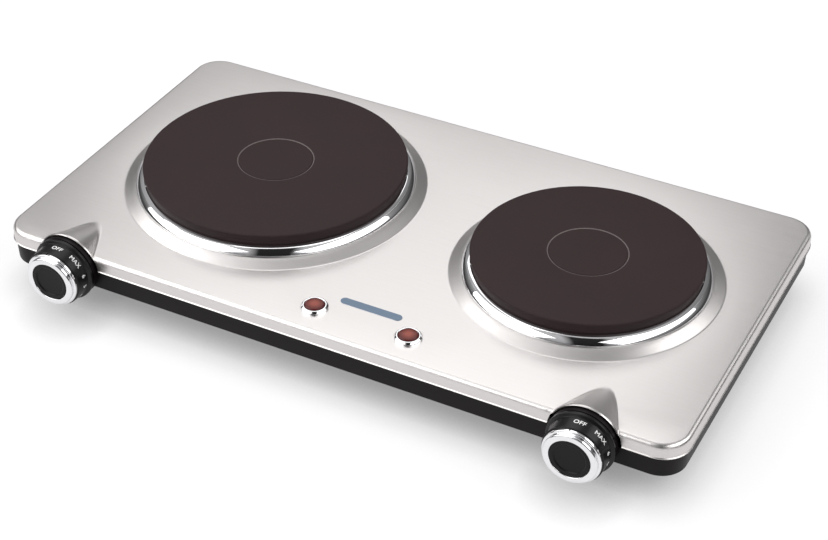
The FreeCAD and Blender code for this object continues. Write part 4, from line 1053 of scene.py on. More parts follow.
@dataclass
class BasePan:
    """The black base: sloping wall, flat shelf, deeper belly with vents, and pads for knobs and gland."""

    top: SteelTop
    sheet: float = 1.0 * MM
    head_out: float = -0.8 * MM
    foot_out: float = -1.6 * MM
    shelf_round: float = 1.0 * MM
    belly_inset: float = 20.9 * MM
    belly_draft: float = 3.0 * MM
    belly_corner: float = 14.0 * MM
    belly_round: float = 3.0 * MM
    root_round: float = 2.0 * MM
    shelf_drop: float = 25.6 * MM
    head_drop: float = 5.5 * MM
    pad_out: float = 3.0 * MM
    pad_thickness: float = 5.5 * MM
    pad_radius: float = 22.2 * MM
    gland_pad_out: float = -1.6 * MM
    gland_pad_thickness: float = 2.4 * MM
    gland_pad_radius: float = 7.5 * MM
    gland_hole: float = 4.9 * MM
    gland_opening_radius: float = 6.8 * MM
    shaft_hole: float = 5.0 * MM
    opening_half: float = 14.0 * MM
    opening_foot: float = 3.6 * MM
    opening_head: float = 0.6 * MM
    clear_radius: float = 23.5 * MM
    vent_length: float = 56.0 * MM
    vent_width: float = 4.0 * MM
    vent_pitch: float = 12.0 * MM
    vent_count: int = 9
    vent_steps: int = 12
    screw_hole: float = 1.7 * MM
    screw_steps: int = 24
    hole_steps: int = 32
    gland_pad_steps: int = 48
    pad_steps: int = 64
    wall: list[Point] = field(init=False)
    belly: list[Point] = field(init=False)
    belly_plan: RoundedPlan = field(init=False)
    shelf_z: float = field(init=False)
    belly_z: float = field(init=False)

    def __post_init__(self) -> None:
        """Draw the sections of the wall and the belly."""
        low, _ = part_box("base_pan")
        self.belly_z = low.z
        self.shelf_z = self.top.face_z - self.shelf_drop
        wall = [
            (-self.belly_inset / 2, self.shelf_z, 0.0),
            (self.foot_out, self.shelf_z, self.shelf_round),
            (self.head_out, self.top.face_z - self.head_drop, 0.0),
        ]
        belly = [
            (-2 * self.belly_inset, self.belly_z, 0.0),
            (-self.belly_draft, self.belly_z, self.belly_round),
            (0.0, self.shelf_z, self.root_round),
            (self.belly_inset / 2, self.shelf_z, 0.0),
        ]
        self.wall = rounded_line(wall, steps=8)
        self.belly = rounded_line(belly, steps=8)
        inset = self.foot_out - self.belly_inset
        plan = self.top.plan
        self.belly_plan = RoundedPlan(
            plan.middle, plan.half_width + inset, plan.half_depth + inset, self.belly_corner
        )

    def height(self, x: float, y: float) -> float:
        """Give the height of the base's outer face."""
        away = self.belly_plan.outside(x, y)
        if away > self.belly[-2][0]:
            return height_on(self.wall, self.top.plan.outside(x, y))
        return height_on(self.belly, away)

    def wall_out(self, level: float) -> float:
        """Give how far out the wall stands at a height."""
        return height_on([(z, out) for out, z in self.wall[2:]], level)

    def on_front(self, across: float, level: float) -> Point:
        """Give the spot in plan of a point on the front wall."""
        return (across, self.top.front_y - self.wall_out(level))

    def knob_opening(self, axis: Vector) -> list[Point]:
        """Draw the opening that the knob's pad closes in the front wall."""
        half = self.opening_half
        foot_z, head_z = self.shelf_z + self.opening_foot, axis.z + self.opening_head
        right = [(half, foot_z), (half, head_z)]
        for step in range(9):
            level = mixed(head_z, self.wall[-1][1], step / 8)
            right.append((math.sqrt(self.clear_radius**2 - (level - axis.z) ** 2), level))
        side = [self.on_front(axis.x + across, level) for across, level in right]
        side.append((side[-1][0], self.top.front_y))
        mirrored = [(2 * axis.x - x, y) for x, y in side]
        return side + mirrored[::-1]

    def slots(self, disc: Disc) -> list[list[Point]]:
        """Draw the vents under one burner."""
        rows = [row - (self.vent_count - 1) / 2 for row in range(self.vent_count)]
        centres = [(disc.centre[0], disc.centre[1] + row * self.vent_pitch) for row in rows]
        return [oblong(centre, self.vent_length, self.vent_width, self.vent_steps) for centre in centres]

    def gland_opening(self) -> list[Point]:
        """Draw the opening in the rear wall that the gland's pad closes."""
        middle = middle_of("cord_gland")
        spots = ring_points((middle.x, middle.z), self.gland_opening_radius, self.hole_steps)
        return [(x, self.top.rear_y + self.wall_out(level)) for x, level in spots]

    def pads(self) -> list[Shape]:
        """Make the flat pads behind the knobs and the gland."""
        shapes = []
        face_y = self.top.front_y - self.pad_out
        for axis in self.top.knobs:
            start = math.asin((self.shelf_z - axis.z) / self.pad_radius)
            steps = self.pad_steps
            turns = [start + (math.pi - 2 * start) * step / steps for step in range(steps + 1)]
            line = [(self.pad_radius * math.cos(turn), self.pad_radius * math.sin(turn)) for turn in turns]
            plan = SheetPlan(line, [ring_points((0.0, 0.0), self.shaft_hole, self.hole_steps)])
            place = Matrix.Translation((axis.x, face_y, axis.z)) @ Seat.FORWARD.value
            shapes.append(plate_shape(plan, self.pad_thickness, place))
        middle = middle_of("cord_gland")
        rear_y = self.top.rear_y + self.gland_pad_out
        hole = ring_points((0.0, 0.0), self.gland_hole, self.hole_steps)
        rim = ring_points((0.0, 0.0), self.gland_pad_radius, self.gland_pad_steps)
        plan = SheetPlan(rim, [hole])
        place = Matrix.Translation((middle.x, rear_y, middle.z)) @ Seat.BACKWARD.value
        shapes.append(plate_shape(plan, self.gland_pad_thickness, place))
        return shapes

    def build(self) -> None:
        """Press the base and add its pads."""
        plan = SheetPlan(self.top.plan.line(self.head_out))
        plan.creases = [self.top.plan.line(out) for out, _ in self.wall[1:-1]]
        plan.creases += [self.belly_plan.line(out) for out, _ in self.belly[1:-1]]
        for disc in self.top.burners:
            plan.openings += self.slots(disc)
        for axis in self.top.knobs:
            plan.openings.append(self.knob_opening(axis))
        plan.openings.append(self.gland_opening())
        for spot in corner_spread("base_screws").spots():
            plan.openings.append(ring_points(spot, self.screw_hole, self.screw_steps))
        shell = add_thickness(add_piece("base_shell", plan.raised(self.height, -1), BLACK_PAINT), self.sheet)
        whole = bmesh.new()
        whole.from_mesh(shell.data)
        bpy.data.objects.remove(shell)
        for pad in self.pads():
            join_shape(whole, pad)
        settle(add_piece("base_shell", whole, BLACK_PAINT), HOUSING, ["base_pan"])


def join_shape(whole: Shape, part: Shape) -> None:
    """Add one shape to another and free it."""
    mesh = bpy.data.meshes.new("part")
    part.to_mesh(mesh)
    part.free()
    whole.from_mesh(mesh)
    bpy.data.meshes.remove(mesh)


@dataclass(frozen=True)
class CornerSpread:
    """Four places in a rectangle."""

    middle: Point
    half: Point

    def spots(self) -> list[Point]:
        """List the four places in plan."""
        (x, y), (half_x, half_y) = self.middle, self.half
        return [(x + sign_x * half_x, y + sign_y * half_y) for sign_x in (-1, 1) for sign_y in (-1, 1)]


def corner_spread(*nodes: str) -> CornerSpread:
    """Find the four places of round pieces that stand in a rectangle.

    Args:
        nodes: One node that holds all four, or the four nodes.

    Returns:
        Their middle and half spans.
    """
    lows, highs = zip(*(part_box(node) for node in nodes))
    low, high = Vector(map(min, zip(*lows))), Vector(map(max, zip(*highs)))
    points = [vert.co for node in nodes for vert in frame["nodes"][node].data.vertices]
    left = [spot.x for spot in points if spot.x < (low.x + high.x) / 2]
    width = max(left) - min(left)
    middle = ((low.x + high.x) / 2, (low.y + high.y) / 2)
    half = ((high.x - low.x - width) / 2, (high.y - low.y - width) / 2)
    return CornerSpread(middle, half)


@dataclass
class PieceTree:
    """A geometry node tree whose named inputs are set by their sockets' identifiers."""

    name: str
    kinds: dict[str, str]
    sockets: dict[str, str] = field(default_factory=dict)
    tree: bpy.types.NodeTree = field(init=False)

    def __post_init__(self) -> None:
        """Give the tree its inputs, draw it and end it in real geometry with its finish."""
        self.tree = bpy.data.node_groups.new(self.name, "GeometryNodeTree")
        panel = self.tree.interface
        for label, kind in {**self.kinds, "Finish": "Material"}.items():
            socket = panel.new_socket(label, in_out="INPUT", socket_type=f"NodeSocket{kind}")
            self.sockets[label] = socket.identifier
        panel.new_socket("Result", in_out="OUTPUT", socket_type="NodeSocketGeometry")
        board = NodeBoard(self.tree)
        given = board.add("NodeGroupInput").outputs
        real = board.add("GeometryNodeRealizeInstances", {"Geometry": self.draw(board, given)})
        inputs = {"Geometry": real.outputs["Geometry"], "Material": given["Finish"]}
        dressed = board.add("GeometryNodeSetMaterial", inputs)
        board.add("NodeGroupOutput", {0: dressed.outputs["Geometry"]})

    def draw(self, board: NodeBoard, given: Sockets) -> Socket:
        """Build the nodes that make the geometry."""
        raise NotImplementedError

    def run(self, piece: Piece, finish: Finish, values: dict[str, object]) -> Piece:
        """Run the tree on a piece and keep the result as plain mesh."""
        modifier = piece.modifiers.new(self.name, "NODES")
        modifier.node_group = self.tree
        for label, value in {**values, "Finish": finish.material()}.items():
            modifier[self.sockets[label]] = value
        return baked(piece)


def corner_inputs() -> dict[str, str]:
    """Name the inputs of the tree for four corners."""
    return {"Piece": "Geometry", "Span X": "Float", "Span Y": "Float", "Middle": "Vector"}


@dataclass
class CornerTree(PieceTree):
    """A node tree that sets one piece at four corners."""

    name: str = "four_corners"
    kinds: dict[str, str] = field(default_factory=corner_inputs)

    def draw(self, board: NodeBoard, given: Sockets) -> Socket:
        """Set the piece on the points of a two by two grid."""
        sizes = {"Size X": given["Span X"], "Size Y": given["Span Y"], "Vertices X": 2, "Vertices Y": 2}
        grid = board.add("GeometryNodeMeshGrid", sizes).outputs["Mesh"]
        moved = board.add("GeometryNodeTransform", {"Geometry": grid, "Translation": given["Middle"]})
        inputs = {"Points": moved.outputs["Geometry"], "Instance": given["Piece"]}
        return board.add("GeometryNodeInstanceOnPoints", inputs).outputs["Instances"]

    def spread(self, piece: Piece, places: CornerSpread, level: float, finish: Finish) -> None:
        """Set the piece at the four places, as plain mesh."""
        span_x, span_y = (2 * half for half in places.half)
        self.run(piece, finish, {"Span X": span_x, "Span Y": span_y, "Middle": (*places.middle, level)})


@dataclass
class Underside:
    """Feet and the screws that show from below."""

    foot_head: float = 12.0 * MM
    foot_base: float = 10.5 * MM
    foot_round: float = 1.0 * MM
    grip_start: float = 0.72
    grip_deepest: float = 0.76
    grip_end: float = 0.82
    grip_depth: float = 0.5 * MM
    foot_segments: int = 96
    recess: float = 5.5 * MM
    recess_depth: float = 7.0 * MM
    bore: float = 2.2 * MM
    screw_head: float = 3.2 * MM
    screw_drop: float = 2.0 * MM
    screw_shank: float = 0.65
    foot_screw_head: float = 4.2 * MM
    foot_screw_drop: float = 2.6 * MM
    foot_screw_shank: float = 0.85
    slot_width: float = 0.9 * MM
    slot_reach: float = 1.1
    crown: Point = (0.62, 0.4)
    head_side: Point = (0.35, 0.2)
    screw_segments: int = 48

    def build(self, belly_z: float, shelf_z: float) -> None:
        """Make the feet and both sets of screw heads."""
        tree = CornerTree()
        self.build_feet(tree, belly_z)
        self.build_screws(tree, "base_screws", shelf_z, self.screw_head, self.screw_drop)
        self.build_screws(tree, "foot_screws", self.recess_depth, self.foot_screw_head, self.foot_screw_drop)

    def build_feet(self, tree: CornerTree, belly_z: float) -> None:
        """Turn one rubber foot with a grip groove and set it at the four corners."""
        grip = mixed(self.foot_base, self.foot_head, self.grip_start)
        corners = [
            (self.recess, 0.0, 0.4 * MM),
            (self.foot_base, 0.0, self.foot_round),
            (grip, self.grip_start * belly_z, 0.2 * MM),
            (grip - self.grip_depth, self.grip_deepest * belly_z, 0.2 * MM),
            (self.foot_head, self.grip_end * belly_z, 0.4 * MM),
            (self.foot_head, belly_z, 0.3 * MM),
            (self.bore, belly_z, 0.0),
            (self.bore, self.recess_depth, 0.0),
            (self.recess, self.recess_depth, 0.3 * MM),
        ]
        piece = turned_piece("feet", corners, Vector(), Seat.UP, RUBBER, self.foot_segments)
        nodes = [f"{depth}_{side.value}_foot" for depth in ("front", "rear") for side in Side]
        tree.spread(piece, corner_spread(*nodes), 0.0, RUBBER)
        settle(piece, HOUSING, nodes)

    def build_screws(self, tree: CornerTree, node: str, seat_z: float, head: float, drop: float) -> None:
        """Turn one round-headed screw with a cross recess and set it at the four corners."""
        _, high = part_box(node)
        shank = self.bore * (self.foot_screw_shank if head > self.screw_head else self.screw_shank)
        crown, crown_round = self.crown
        side, side_round = self.head_side
        corners = [
            (0.0, -drop, 0.0),
            (head * crown, -drop, drop * crown_round),
            (head, -drop * side, drop * side_round),
            (head, 0.0, 0.1 * MM),
            (shank, 0.0, 0.0),
            (shank, high.z - seat_z, 0.3 * MM),
            (0.0, high.z - seat_z, 0.0),
        ]
        piece = turned_piece(node + "_heads", corners, Vector(), Seat.UP, ZINC, self.screw_segments)
        cross = bmesh.new()
        slot = head * self.slot_reach
        for wide, deep in ((slot, self.slot_width), (self.slot_width, slot)):
            box = bmesh.ops.create_cube(cross, size=1.0)["verts"]
            bmesh.ops.scale(cross, verts=box, vec=(wide, deep, drop))
            bmesh.ops.translate(cross, verts=box, vec=(0.0, 0.0, -drop))
        tool = add_piece("cross_tool", cross, ZINC)
        cut = piece.modifiers.new("cross", "BOOLEAN")
        cut.operation = "DIFFERENCE"
        cut.solver = "EXACT"
        cut.use_self = True
        cut.object = tool
        baked(piece)
        bpy.data.objects.remove(tool)
        tree.spread(piece, corner_spread(node), seat_z, ZINC)
        settle(piece, HOUSING, [node])


# Burners


@dataclass
class Burner:
    """One cast iron plate with its bright spill ring."""

    side: Side
    top: SteelTop
    edge_round: float = 1.4 * MM
    taper: float = 2.0 * MM
    thickness: float = 8.0 * MM
    foot_width: float = 9.0 * MM
    groove: float = 26.0 * MM
    groove_width: float = 1.2 * MM
    groove_depth: float = 0.35 * MM
    # Width of the painted highlight line beside the plate's groove.
    highlight_width: float = 0.45 * MM
    boss: float = 13.0 * MM
    boss_drop: float = 6.7 * MM
    bore: float = 3.1 * MM
    bore_depth: float = 8.0 * MM
    trim_sheet: float = 0.8 * MM
    trim_rise: float = 10.2 * MM
    trim_gap: float = 0.25 * MM
    trim_edge: float = 0.45 * MM
    trim_foot: float = 1.3 * MM
    trim_bulge: float = 11.0 * MM
    trim_inset: float = 1.0 * MM
    shoulder_width: float = 2.6 * MM
    shoulder_slope: Point = (0.18, 0.42)
    shoulder_step: float = 0.35 * MM
    shoulder_steps: int = 8
    band_steps: int = 14
    segments: int = 192

    def build(self) -> None:
        """Turn the plate and the ring."""
        disc = Disc.of(f"{self.side.value}_plate")
        self.build_plate(disc)
        self.build_trim(disc)

    def build_plate(self, disc: Disc) -> None:
        """Turn the plate: flat top with a ring groove, tapered side, foot ring and centre boss."""
        radius, top_z = disc.radius, disc.high_z
        foot_z = self.top.face_z + self.top.rim_rise + self.trim_sheet
        under_z = top_z - self.thickness
        boss_z = under_z - self.boss_drop
        foot = radius - self.taper
        half = self.groove_width / 2
        corners = [
            (0.0, top_z, 0.0),
            (self.groove - half, top_z, 0.15 * MM),
            (self.groove - half / 2, top_z - self.groove_depth, 0.1 * MM),
            (self.groove + half / 2, top_z - self.groove_depth, 0.1 * MM),
            (self.groove + half, top_z, 0.15 * MM),
            (radius, top_z, self.edge_round),
            (foot, foot_z, 0.4 * MM),
            (foot - self.foot_width, foot_z, 0.4 * MM),
            (foot - self.foot_width, under_z, 0.8 * MM),
            (self.boss, under_z, 0.8 * MM),
            (self.boss, boss_z, 0.4 * MM),
            (self.bore, boss_z, 0.0),
            (self.bore, boss_z + self.bore_depth, 0.0),
            (0.0, boss_z + self.bore_depth, 0.0),
        ]
        name = f"{self.side.value}_plate"
        # The painted highlight lies over the groove's outer wall.
        highlight_band = (self.groove + half / 2, self.groove + half / 2 + self.highlight_width)
        iron = CastIron(f"{self.side.value} cast iron", middle=(*disc.centre, 0.0), groove=highlight_band)
        piece = turned_piece(name + "_casting", corners, disc.foot, Seat.UP, iron, self.segments)
        settle(piece, HOUSING, [name])

    def build_trim(self, disc: Disc) -> None:
        """Roll the ring: flange on the ledge, convex band and a round shoulder at the plate's side."""
        ledge_z = self.top.face_z + self.top.rim_rise
        lip_z = self.top.face_z + self.trim_rise
        plate_foot_z = ledge_z + self.trim_sheet
        lean = self.taper * (disc.high_z - lip_z) / (disc.high_z - plate_foot_z)
        lip_in = disc.radius - lean + self.trim_gap
        crest = lip_in + self.trim_edge
        shoulder = []
        for step in range(self.shoulder_steps + 1):
            out = crest + self.shoulder_width * step / self.shoulder_steps
            shoulder.append((out, lip_z - self.shoulder_fall(step / self.shoulder_steps)))
        crease, crease_z = shoulder[-1][0], shoulder[-1][1] - self.shoulder_step
        outer = self.band(disc, crease, crease_z, ledge_z + self.trim_foot, 0.0)
        inner = self.band(disc, crease, crease_z, ledge_z + self.trim_foot, self.trim_sheet)
        flange_in = disc.radius - self.top.ledge_reach + self.trim_inset
        foot_out = disc.radius + self.top.rim_crest_gap
        lip = [(lip_in, lip_z - 2 * self.trim_edge), (lip_in, lip_z - self.trim_edge)]
        lip += [(mixed(lip_in, crest, 0.3), lip_z - 0.3 * self.trim_edge), *shoulder]
        foot = [
            (foot_out, ledge_z),
            (flange_in, ledge_z),
            (flange_in, plate_foot_z),
            (foot_out - self.trim_sheet, plate_foot_z),
        ]
        outline = lip + outer + foot + inner[::-1]
        name = f"{self.side.value}_trim_ring"
        shape = turned_shape(outline, Matrix.Translation(disc.foot), self.segments)
        settle(add_piece(name + "_bright", shape, CHROME), HOUSING, [name])

    def shoulder_fall(self, share: float) -> float:
        """Give how far the ring's shoulder has fallen at a share of its width."""
        start, end = self.shoulder_slope
        return self.shoulder_width * share * (start + (end - start) * share / 2)

    def band(self, disc: Disc, lip_out: float, lip_z: float, foot_z: float, inset: float) -> list[Point]:
        """Draw the convex band from the lip down to the foot, set in by a wall's thickness."""
        foot_out = disc.radius + self.top.rim_crest_gap
        across, rise = foot_out - lip_out, lip_z - foot_z
        chord = math.hypot(across, rise)
        back = math.sqrt(self.trim_bulge**2 - chord**2 / 4)
        centre_x = (foot_out + lip_out) / 2 - back * rise / chord
        centre_z = (lip_z + foot_z) / 2 - back * across / chord
        radius = self.trim_bulge - inset
        start = math.asin((lip_z - inset - centre_z) / radius)
        end = math.acos((foot_out - inset - centre_x) / radius)
        turns = [mixed(start, end, step / self.band_steps) for step in range(self.band_steps + 1)]
        return [(centre_x + radius * math.cos(turn), centre_z + radius * math.sin(turn)) for turn in turns]


# Dial knobs


@dataclass(frozen=True)
class DialMark:
    """One printed word or number, and its place clockwise from the top as the cook sees it."""

    word: str
    turn: float


DIAL_MARKS = (
    DialMark("OFF", 2.0),
    DialMark("MAX", 45.0),
    DialMark("6", 78.0),
    DialMark("5", 101.0),
    DialMark("4", 127.0),
    DialMark("3", 153.0),
    DialMark("2", 179.0),
    DialMark("1", 205.0),
)


def dial_inputs() -> dict[str, str]:
    """Name the inputs of the dial's tree."""
    sizes = ("Letter Height", "Barrel Radius", "Thickness", "Stroke")
    return {**dict.fromkeys(sizes, "Float"), "Middle": "Vector"}


@dataclass
class DialTree(PieceTree):
    """A node tree that prints the dial's words round a barrel."""

    name: str = "dial_marks"
    kinds: dict[str, str] = field(default_factory=dial_inputs)
    spacing: float = 1.06
    brush_sides: int = 6
    weld: float = NEAR

    def draw(self, board: NodeBoard, given: Sockets) -> Socket:
        """Join all the words."""
        join = board.add("GeometryNodeJoinGeometry")
        for mark in DIAL_MARKS:
            self.tree.links.new(self.word(board, given, mark), join.inputs["Geometry"])
        return join.outputs["Geometry"]

    def word(self, board: NodeBoard, given: Sockets, mark: DialMark) -> Socket:
        """Write one word, thicken it and wrap it round the barrel."""
        inputs = {"String": mark.word, "Size": given["Letter Height"], "Character Spacing": self.spacing}
        settings = {"align_x": "CENTER", "align_y": "MIDDLE"}
        letters = board.add("GeometryNodeStringToCurves", inputs, **settings).outputs["Curve Instances"]
        lines = board.add("GeometryNodeRealizeInstances", {"Geometry": letters}).outputs["Geometry"]
        face = board.add("GeometryNodeFillCurve", {"Curve": lines}).outputs["Mesh"]
        inputs = {"Resolution": self.brush_sides, "Radius": given["Stroke"]}
        brush = board.add("GeometryNodeCurvePrimitiveCircle", inputs)
        stroke = board.add("GeometryNodeCurveToMesh", {"Curve": lines, "Profile Curve": brush.outputs["Curve"]})
        raised = board.add("GeometryNodeExtrudeMesh", {"Mesh": face, "Offset Scale": given["Thickness"]})
        raised.inputs["Individual"].default_value = False
        back = board.add("GeometryNodeFlipFaces", {"Mesh": face}).outputs["Mesh"]
        both = board.add("GeometryNodeJoinGeometry")
        for part in (raised.outputs["Mesh"], back, stroke.outputs["Mesh"]):
            self.tree.links.new(part, both.inputs["Geometry"])
        inputs = {"Geometry": both.outputs["Geometry"], "Distance": self.weld}
        closed = board.add("GeometryNodeMergeByDistance", inputs).outputs["Geometry"]
        spot = board.add("GeometryNodeInputPosition").outputs["Position"]
        flat = board.add("ShaderNodeSeparateXYZ", {0: spot}).outputs
        radius = board.sum("ADD", flat["Z"], given["Barrel Radius"])
        turn = board.sum("ADD", board.sum("DIVIDE", flat["X"], given["Barrel Radius"]), math.radians(mark.turn))
        across = board.sum("MULTIPLY", radius, board.sum("SINE", turn, 0.0))
        up = board.sum("MULTIPLY", radius, board.sum("COSINE", turn, 0.0))
        wrapped = board.add("ShaderNodeCombineXYZ", {"X": across, "Y": flat["Y"], "Z": up}).outputs["Vector"]
        inputs = {0: wrapped, 1: given["Middle"]}
        place = board.add("ShaderNodeVectorMath", inputs, operation="ADD").outputs["Vector"]
        return board.add("GeometryNodeSetPosition", {"Geometry": closed, "Position": place}).outputs["Geometry"]

    def prints(
        self, name: str, height: float, radius: float, thickness: float, stroke: float, middle: Vector
    ) -> Piece:
        """Print the marks as one plain mesh."""
        values = {
            "Letter Height": height,
            "Barrel Radius": radius,
            "Thickness": thickness,
            "Stroke": stroke,
            "Middle": middle,
        }
        return self.run(add_piece(name, bmesh.new(), DIAL_WHITE), DIAL_WHITE, values)


@dataclass
class DialKnob:
    """One dial knob: black skirt with printed settings, bright grip ring and black cap."""

    side: Side
    tree: DialTree
    clearance: float = 0.6 * MM
    flange: float = 22.6 * MM
    flange_thickness: float = 2.2 * MM
    shoulder: float = 1.0 * MM
    band_rear: float = 20.6 * MM
    band_front: float = 20.2 * MM
    skirt_length: float = 15.4 * MM
    wall: float = 2.0 * MM
    hub: float = 6.0 * MM
    hub_setback: float = 2.0 * MM
    shaft: float = 3.05 * MM
    ring_rear: float = 19.4 * MM
    ring_front: float = 17.8 * MM
    ring_round: float = 1.1 * MM
    ring_groove: float = 16.9 * MM
    ring_groove_place: float = 1.1 * MM
    ring_groove_width: Point = (0.4 * MM, 0.8 * MM)
    ring_crown: Point = (0.1 * MM, 0.2 * MM)
    ring_wrap: float = 1.5 * MM
    ring_seat: float = 18.6 * MM
    ring_length: float = 3.5 * MM
    ring_bore: float = 13.5 * MM
    cap_gap: float = 0.1 * MM
    cap_length: float = 3.0 * MM
    cap_rim: float = 2.6 * MM
    cap_dish: float = 0.7 * MM
    letter_height: float = 4.4 * MM
    letter_place: float = 7.4 * MM
    letter_proud: float = 0.08 * MM
    letter_stroke: float = 0.16 * MM
    index_size: Lengths = (0.7 * MM, 1.3 * MM, 0.5 * MM)
    index_turn: float = -7.0
    segments: int = 128

    def build(self) -> None:
        """Turn the skirt, ring and cap, and print the dial."""
        axis = knob_axis(self.side)
        _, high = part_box(f"{self.side.value}_knob_skirt")
        pad = Vector((axis.x, high.y + self.clearance, axis.z))
        self.turn_part("skirt", self.skirt_corners(), pad, KNOB_BLACK)
        self.turn_part("ring", self.ring_corners(), pad, CHROME)
        self.turn_part("cap", self.cap_corners(), pad, CAP_BLACK)
        band_start = self.clearance + self.flange_thickness + self.shoulder
        share = (self.letter_place - band_start) / (self.skirt_length - band_start)
        radius = mixed(self.band_rear, self.band_front, share) - self.letter_proud / 2
        middle = pad - Vector((0.0, self.letter_place, 0.0))
        name = f"{self.side.value}_dial_marks"
        proud, stroke = 2 * self.letter_proud, self.letter_stroke
        marks = self.tree.prints(name, self.letter_height, radius, proud, stroke, middle)
        settle(marks, f"{self.side.value}_knob")
        self.cut_index(pad)

    def cut_index(self, pad: Vector) -> None:
        """Lay the fine dark index line along the grip ring's band."""
        width, length, depth = self.index_size
        shape = bmesh.new()
        bmesh.ops.create_cube(shape, size=1.0)
        bmesh.ops.scale(shape, verts=shape.verts, vec=(width, length, depth))
        along = length / 2 - self.skirt_length
        shape.transform(Matrix.Translation((0.0, along, self.ring_rear - depth / 4)))
        turn = Matrix.Rotation(math.radians(self.index_turn), 4, "Y")
        shape.transform(Matrix.Translation(pad) @ turn)
        piece = add_piece(f"{self.side.value}_index_line", shape, KNOB_BLACK)
        settle(piece, f"{self.side.value}_knob")

    def turn_part(self, part: str, corners: list[Corner], pad: Vector, finish: Finish) -> None:
        """Turn one part of the knob about its axis."""
        node = f"{self.side.value}_knob_{part}"
        piece = turned_piece(node + "_turned", corners, pad, Seat.FORWARD, finish, self.segments)
        settle(piece, f"{self.side.value}_knob", [node])

    def skirt_corners(self) -> list[Corner]:
        """Draw the skirt's section: rear flange, tapered band, closed front and hub."""
        shoulder = self.clearance + self.flange_thickness
        inner = self.band_front - self.wall
        web = self.skirt_length - self.wall
        hub_end = self.clearance + self.hub_setback
        return [
            (0.0, self.skirt_length, 0.0),
            (0.0, web, 0.0),
            (self.shaft, web, 0.0),
            (self.shaft, hub_end, 0.0),
            (self.hub, hub_end, 0.3 * MM),
            (self.hub, web, 0.5 * MM),
            (inner, web, 0.5 * MM),
            (inner, self.clearance, 0.2 * MM),
            (self.flange, self.clearance, 0.5 * MM),
            (self.flange, shoulder, 0.6 * MM),
            (self.band_rear, shoulder + self.shoulder, 0.5 * MM),
            (self.band_front, self.skirt_length - self.ring_wrap, 0.4 * MM),
            (self.ring_seat, self.skirt_length - self.ring_wrap, 0.0),
            (self.ring_seat, self.skirt_length, 0.2 * MM),
        ]

    def ring_corners(self) -> list[Corner]:
        """Draw the grip ring's section: convex band, fine groove and round front."""
        front = self.skirt_length + self.ring_length
        rear = self.skirt_length - self.ring_wrap
        groove = self.skirt_length + self.ring_groove_place
        narrow, wide = self.ring_groove_width
        drop, back = self.ring_crown
        return [
            (self.ring_bore, self.skirt_length, 0.0),
            (self.ring_seat + self.cap_gap, self.skirt_length, 0.0),
            (self.ring_seat + self.cap_gap, rear, 0.0),
            (self.ring_rear, rear, 0.4 * MM),
            (self.ring_rear - drop, groove - back, 0.9 * MM),
            (self.ring_groove, groove, 0.15 * MM),
            (self.ring_groove, groove + narrow, 0.15 * MM),
            (self.ring_front, groove + wide, 0.4 * MM),
            (self.ring_front, front, self.ring_round),
            (self.ring_bore, front, 0.5 * MM),
        ]

    def cap_corners(self) -> list[Corner]:
        """Draw the cap's section: raised rim round a dished face."""
        radius = self.ring_bore - self.cap_gap
        front = self.skirt_length + self.cap_length
        return [
            (0.0, front - self.cap_dish, 0.0),
            (0.0, self.skirt_length, 0.0),
            (radius, self.skirt_length, 0.0),
            (radius, front, 0.6 * MM),
            (radius - self.cap_rim, front, 0.4 * MM),
            (radius - self.cap_rim - self.cap_dish, front - self.cap_dish, 0.4 * MM),
        ]


# Signal lamps and badge


@dataclass
class SignalLamp:
    """One red signal lamp in a bright bezel."""

    side: Side
    top: SteelTop
    flange: float = 9.0 * MM
    crown: float = 7.8 * MM
    rise: float = 2.3 * MM
    bore: float = 6.7 * MM
    barrel: float = 7.5 * MM
    barrel_drop: float = 12.0 * MM
    lens_gap: float = 0.15 * MM
    lens_rise: float = 3.2 * MM
    lens_shoulder: float = 2.8 * MM
    lens_depth: float = 3.0 * MM
    lens_crown: float = 0.55
    lens_crown_fall: float = 0.1 * MM
    lens_crown_round: float = 3.0 * MM
    segments: int = 96

    def build(self) -> None:
        """Turn the bezel and the lens."""
        name = self.side.value
        disc = Disc.of(f"{name}_lamp_lens")
        face = self.top.face_z
        bezel = [
            (self.bore, face - self.barrel_drop, 0.0),
            (self.barrel, face - self.barrel_drop, 0.0),
            (self.barrel, face, 0.0),
            (self.flange, face, 0.0),
            (self.flange, face + self.rise / 2, 0.9 * MM),
            (self.crown, face + self.rise, 0.8 * MM),
            (self.bore, face + self.rise, 0.5 * MM),
        ]
        piece = turned_piece(f"{name}_bezel_turned", bezel, disc.foot, Seat.UP, CHROME, self.segments)
        settle(piece, HOUSING, [f"{name}_lamp_bezel"])
        radius = self.bore - self.lens_gap
        crown_z = face + self.lens_rise - self.lens_crown_fall
        lens = [
            (0.0, face - self.lens_depth, 0.0),
            (radius, face - self.lens_depth, 0.0),
            (radius, face + self.lens_shoulder, 0.9 * MM),
            (radius * self.lens_crown, crown_z, self.lens_crown_round),
            (0.0, face + self.lens_rise, 0.0),
        ]
        tint = TintedLens(f"{name} red lens", middle=(*disc.centre, face), radius=radius)
        piece = turned_piece(f"{name}_lens_moulded", lens, disc.foot, Seat.UP, tint, self.segments)
        settle(piece, HOUSING, [f"{name}_lamp_lens"])


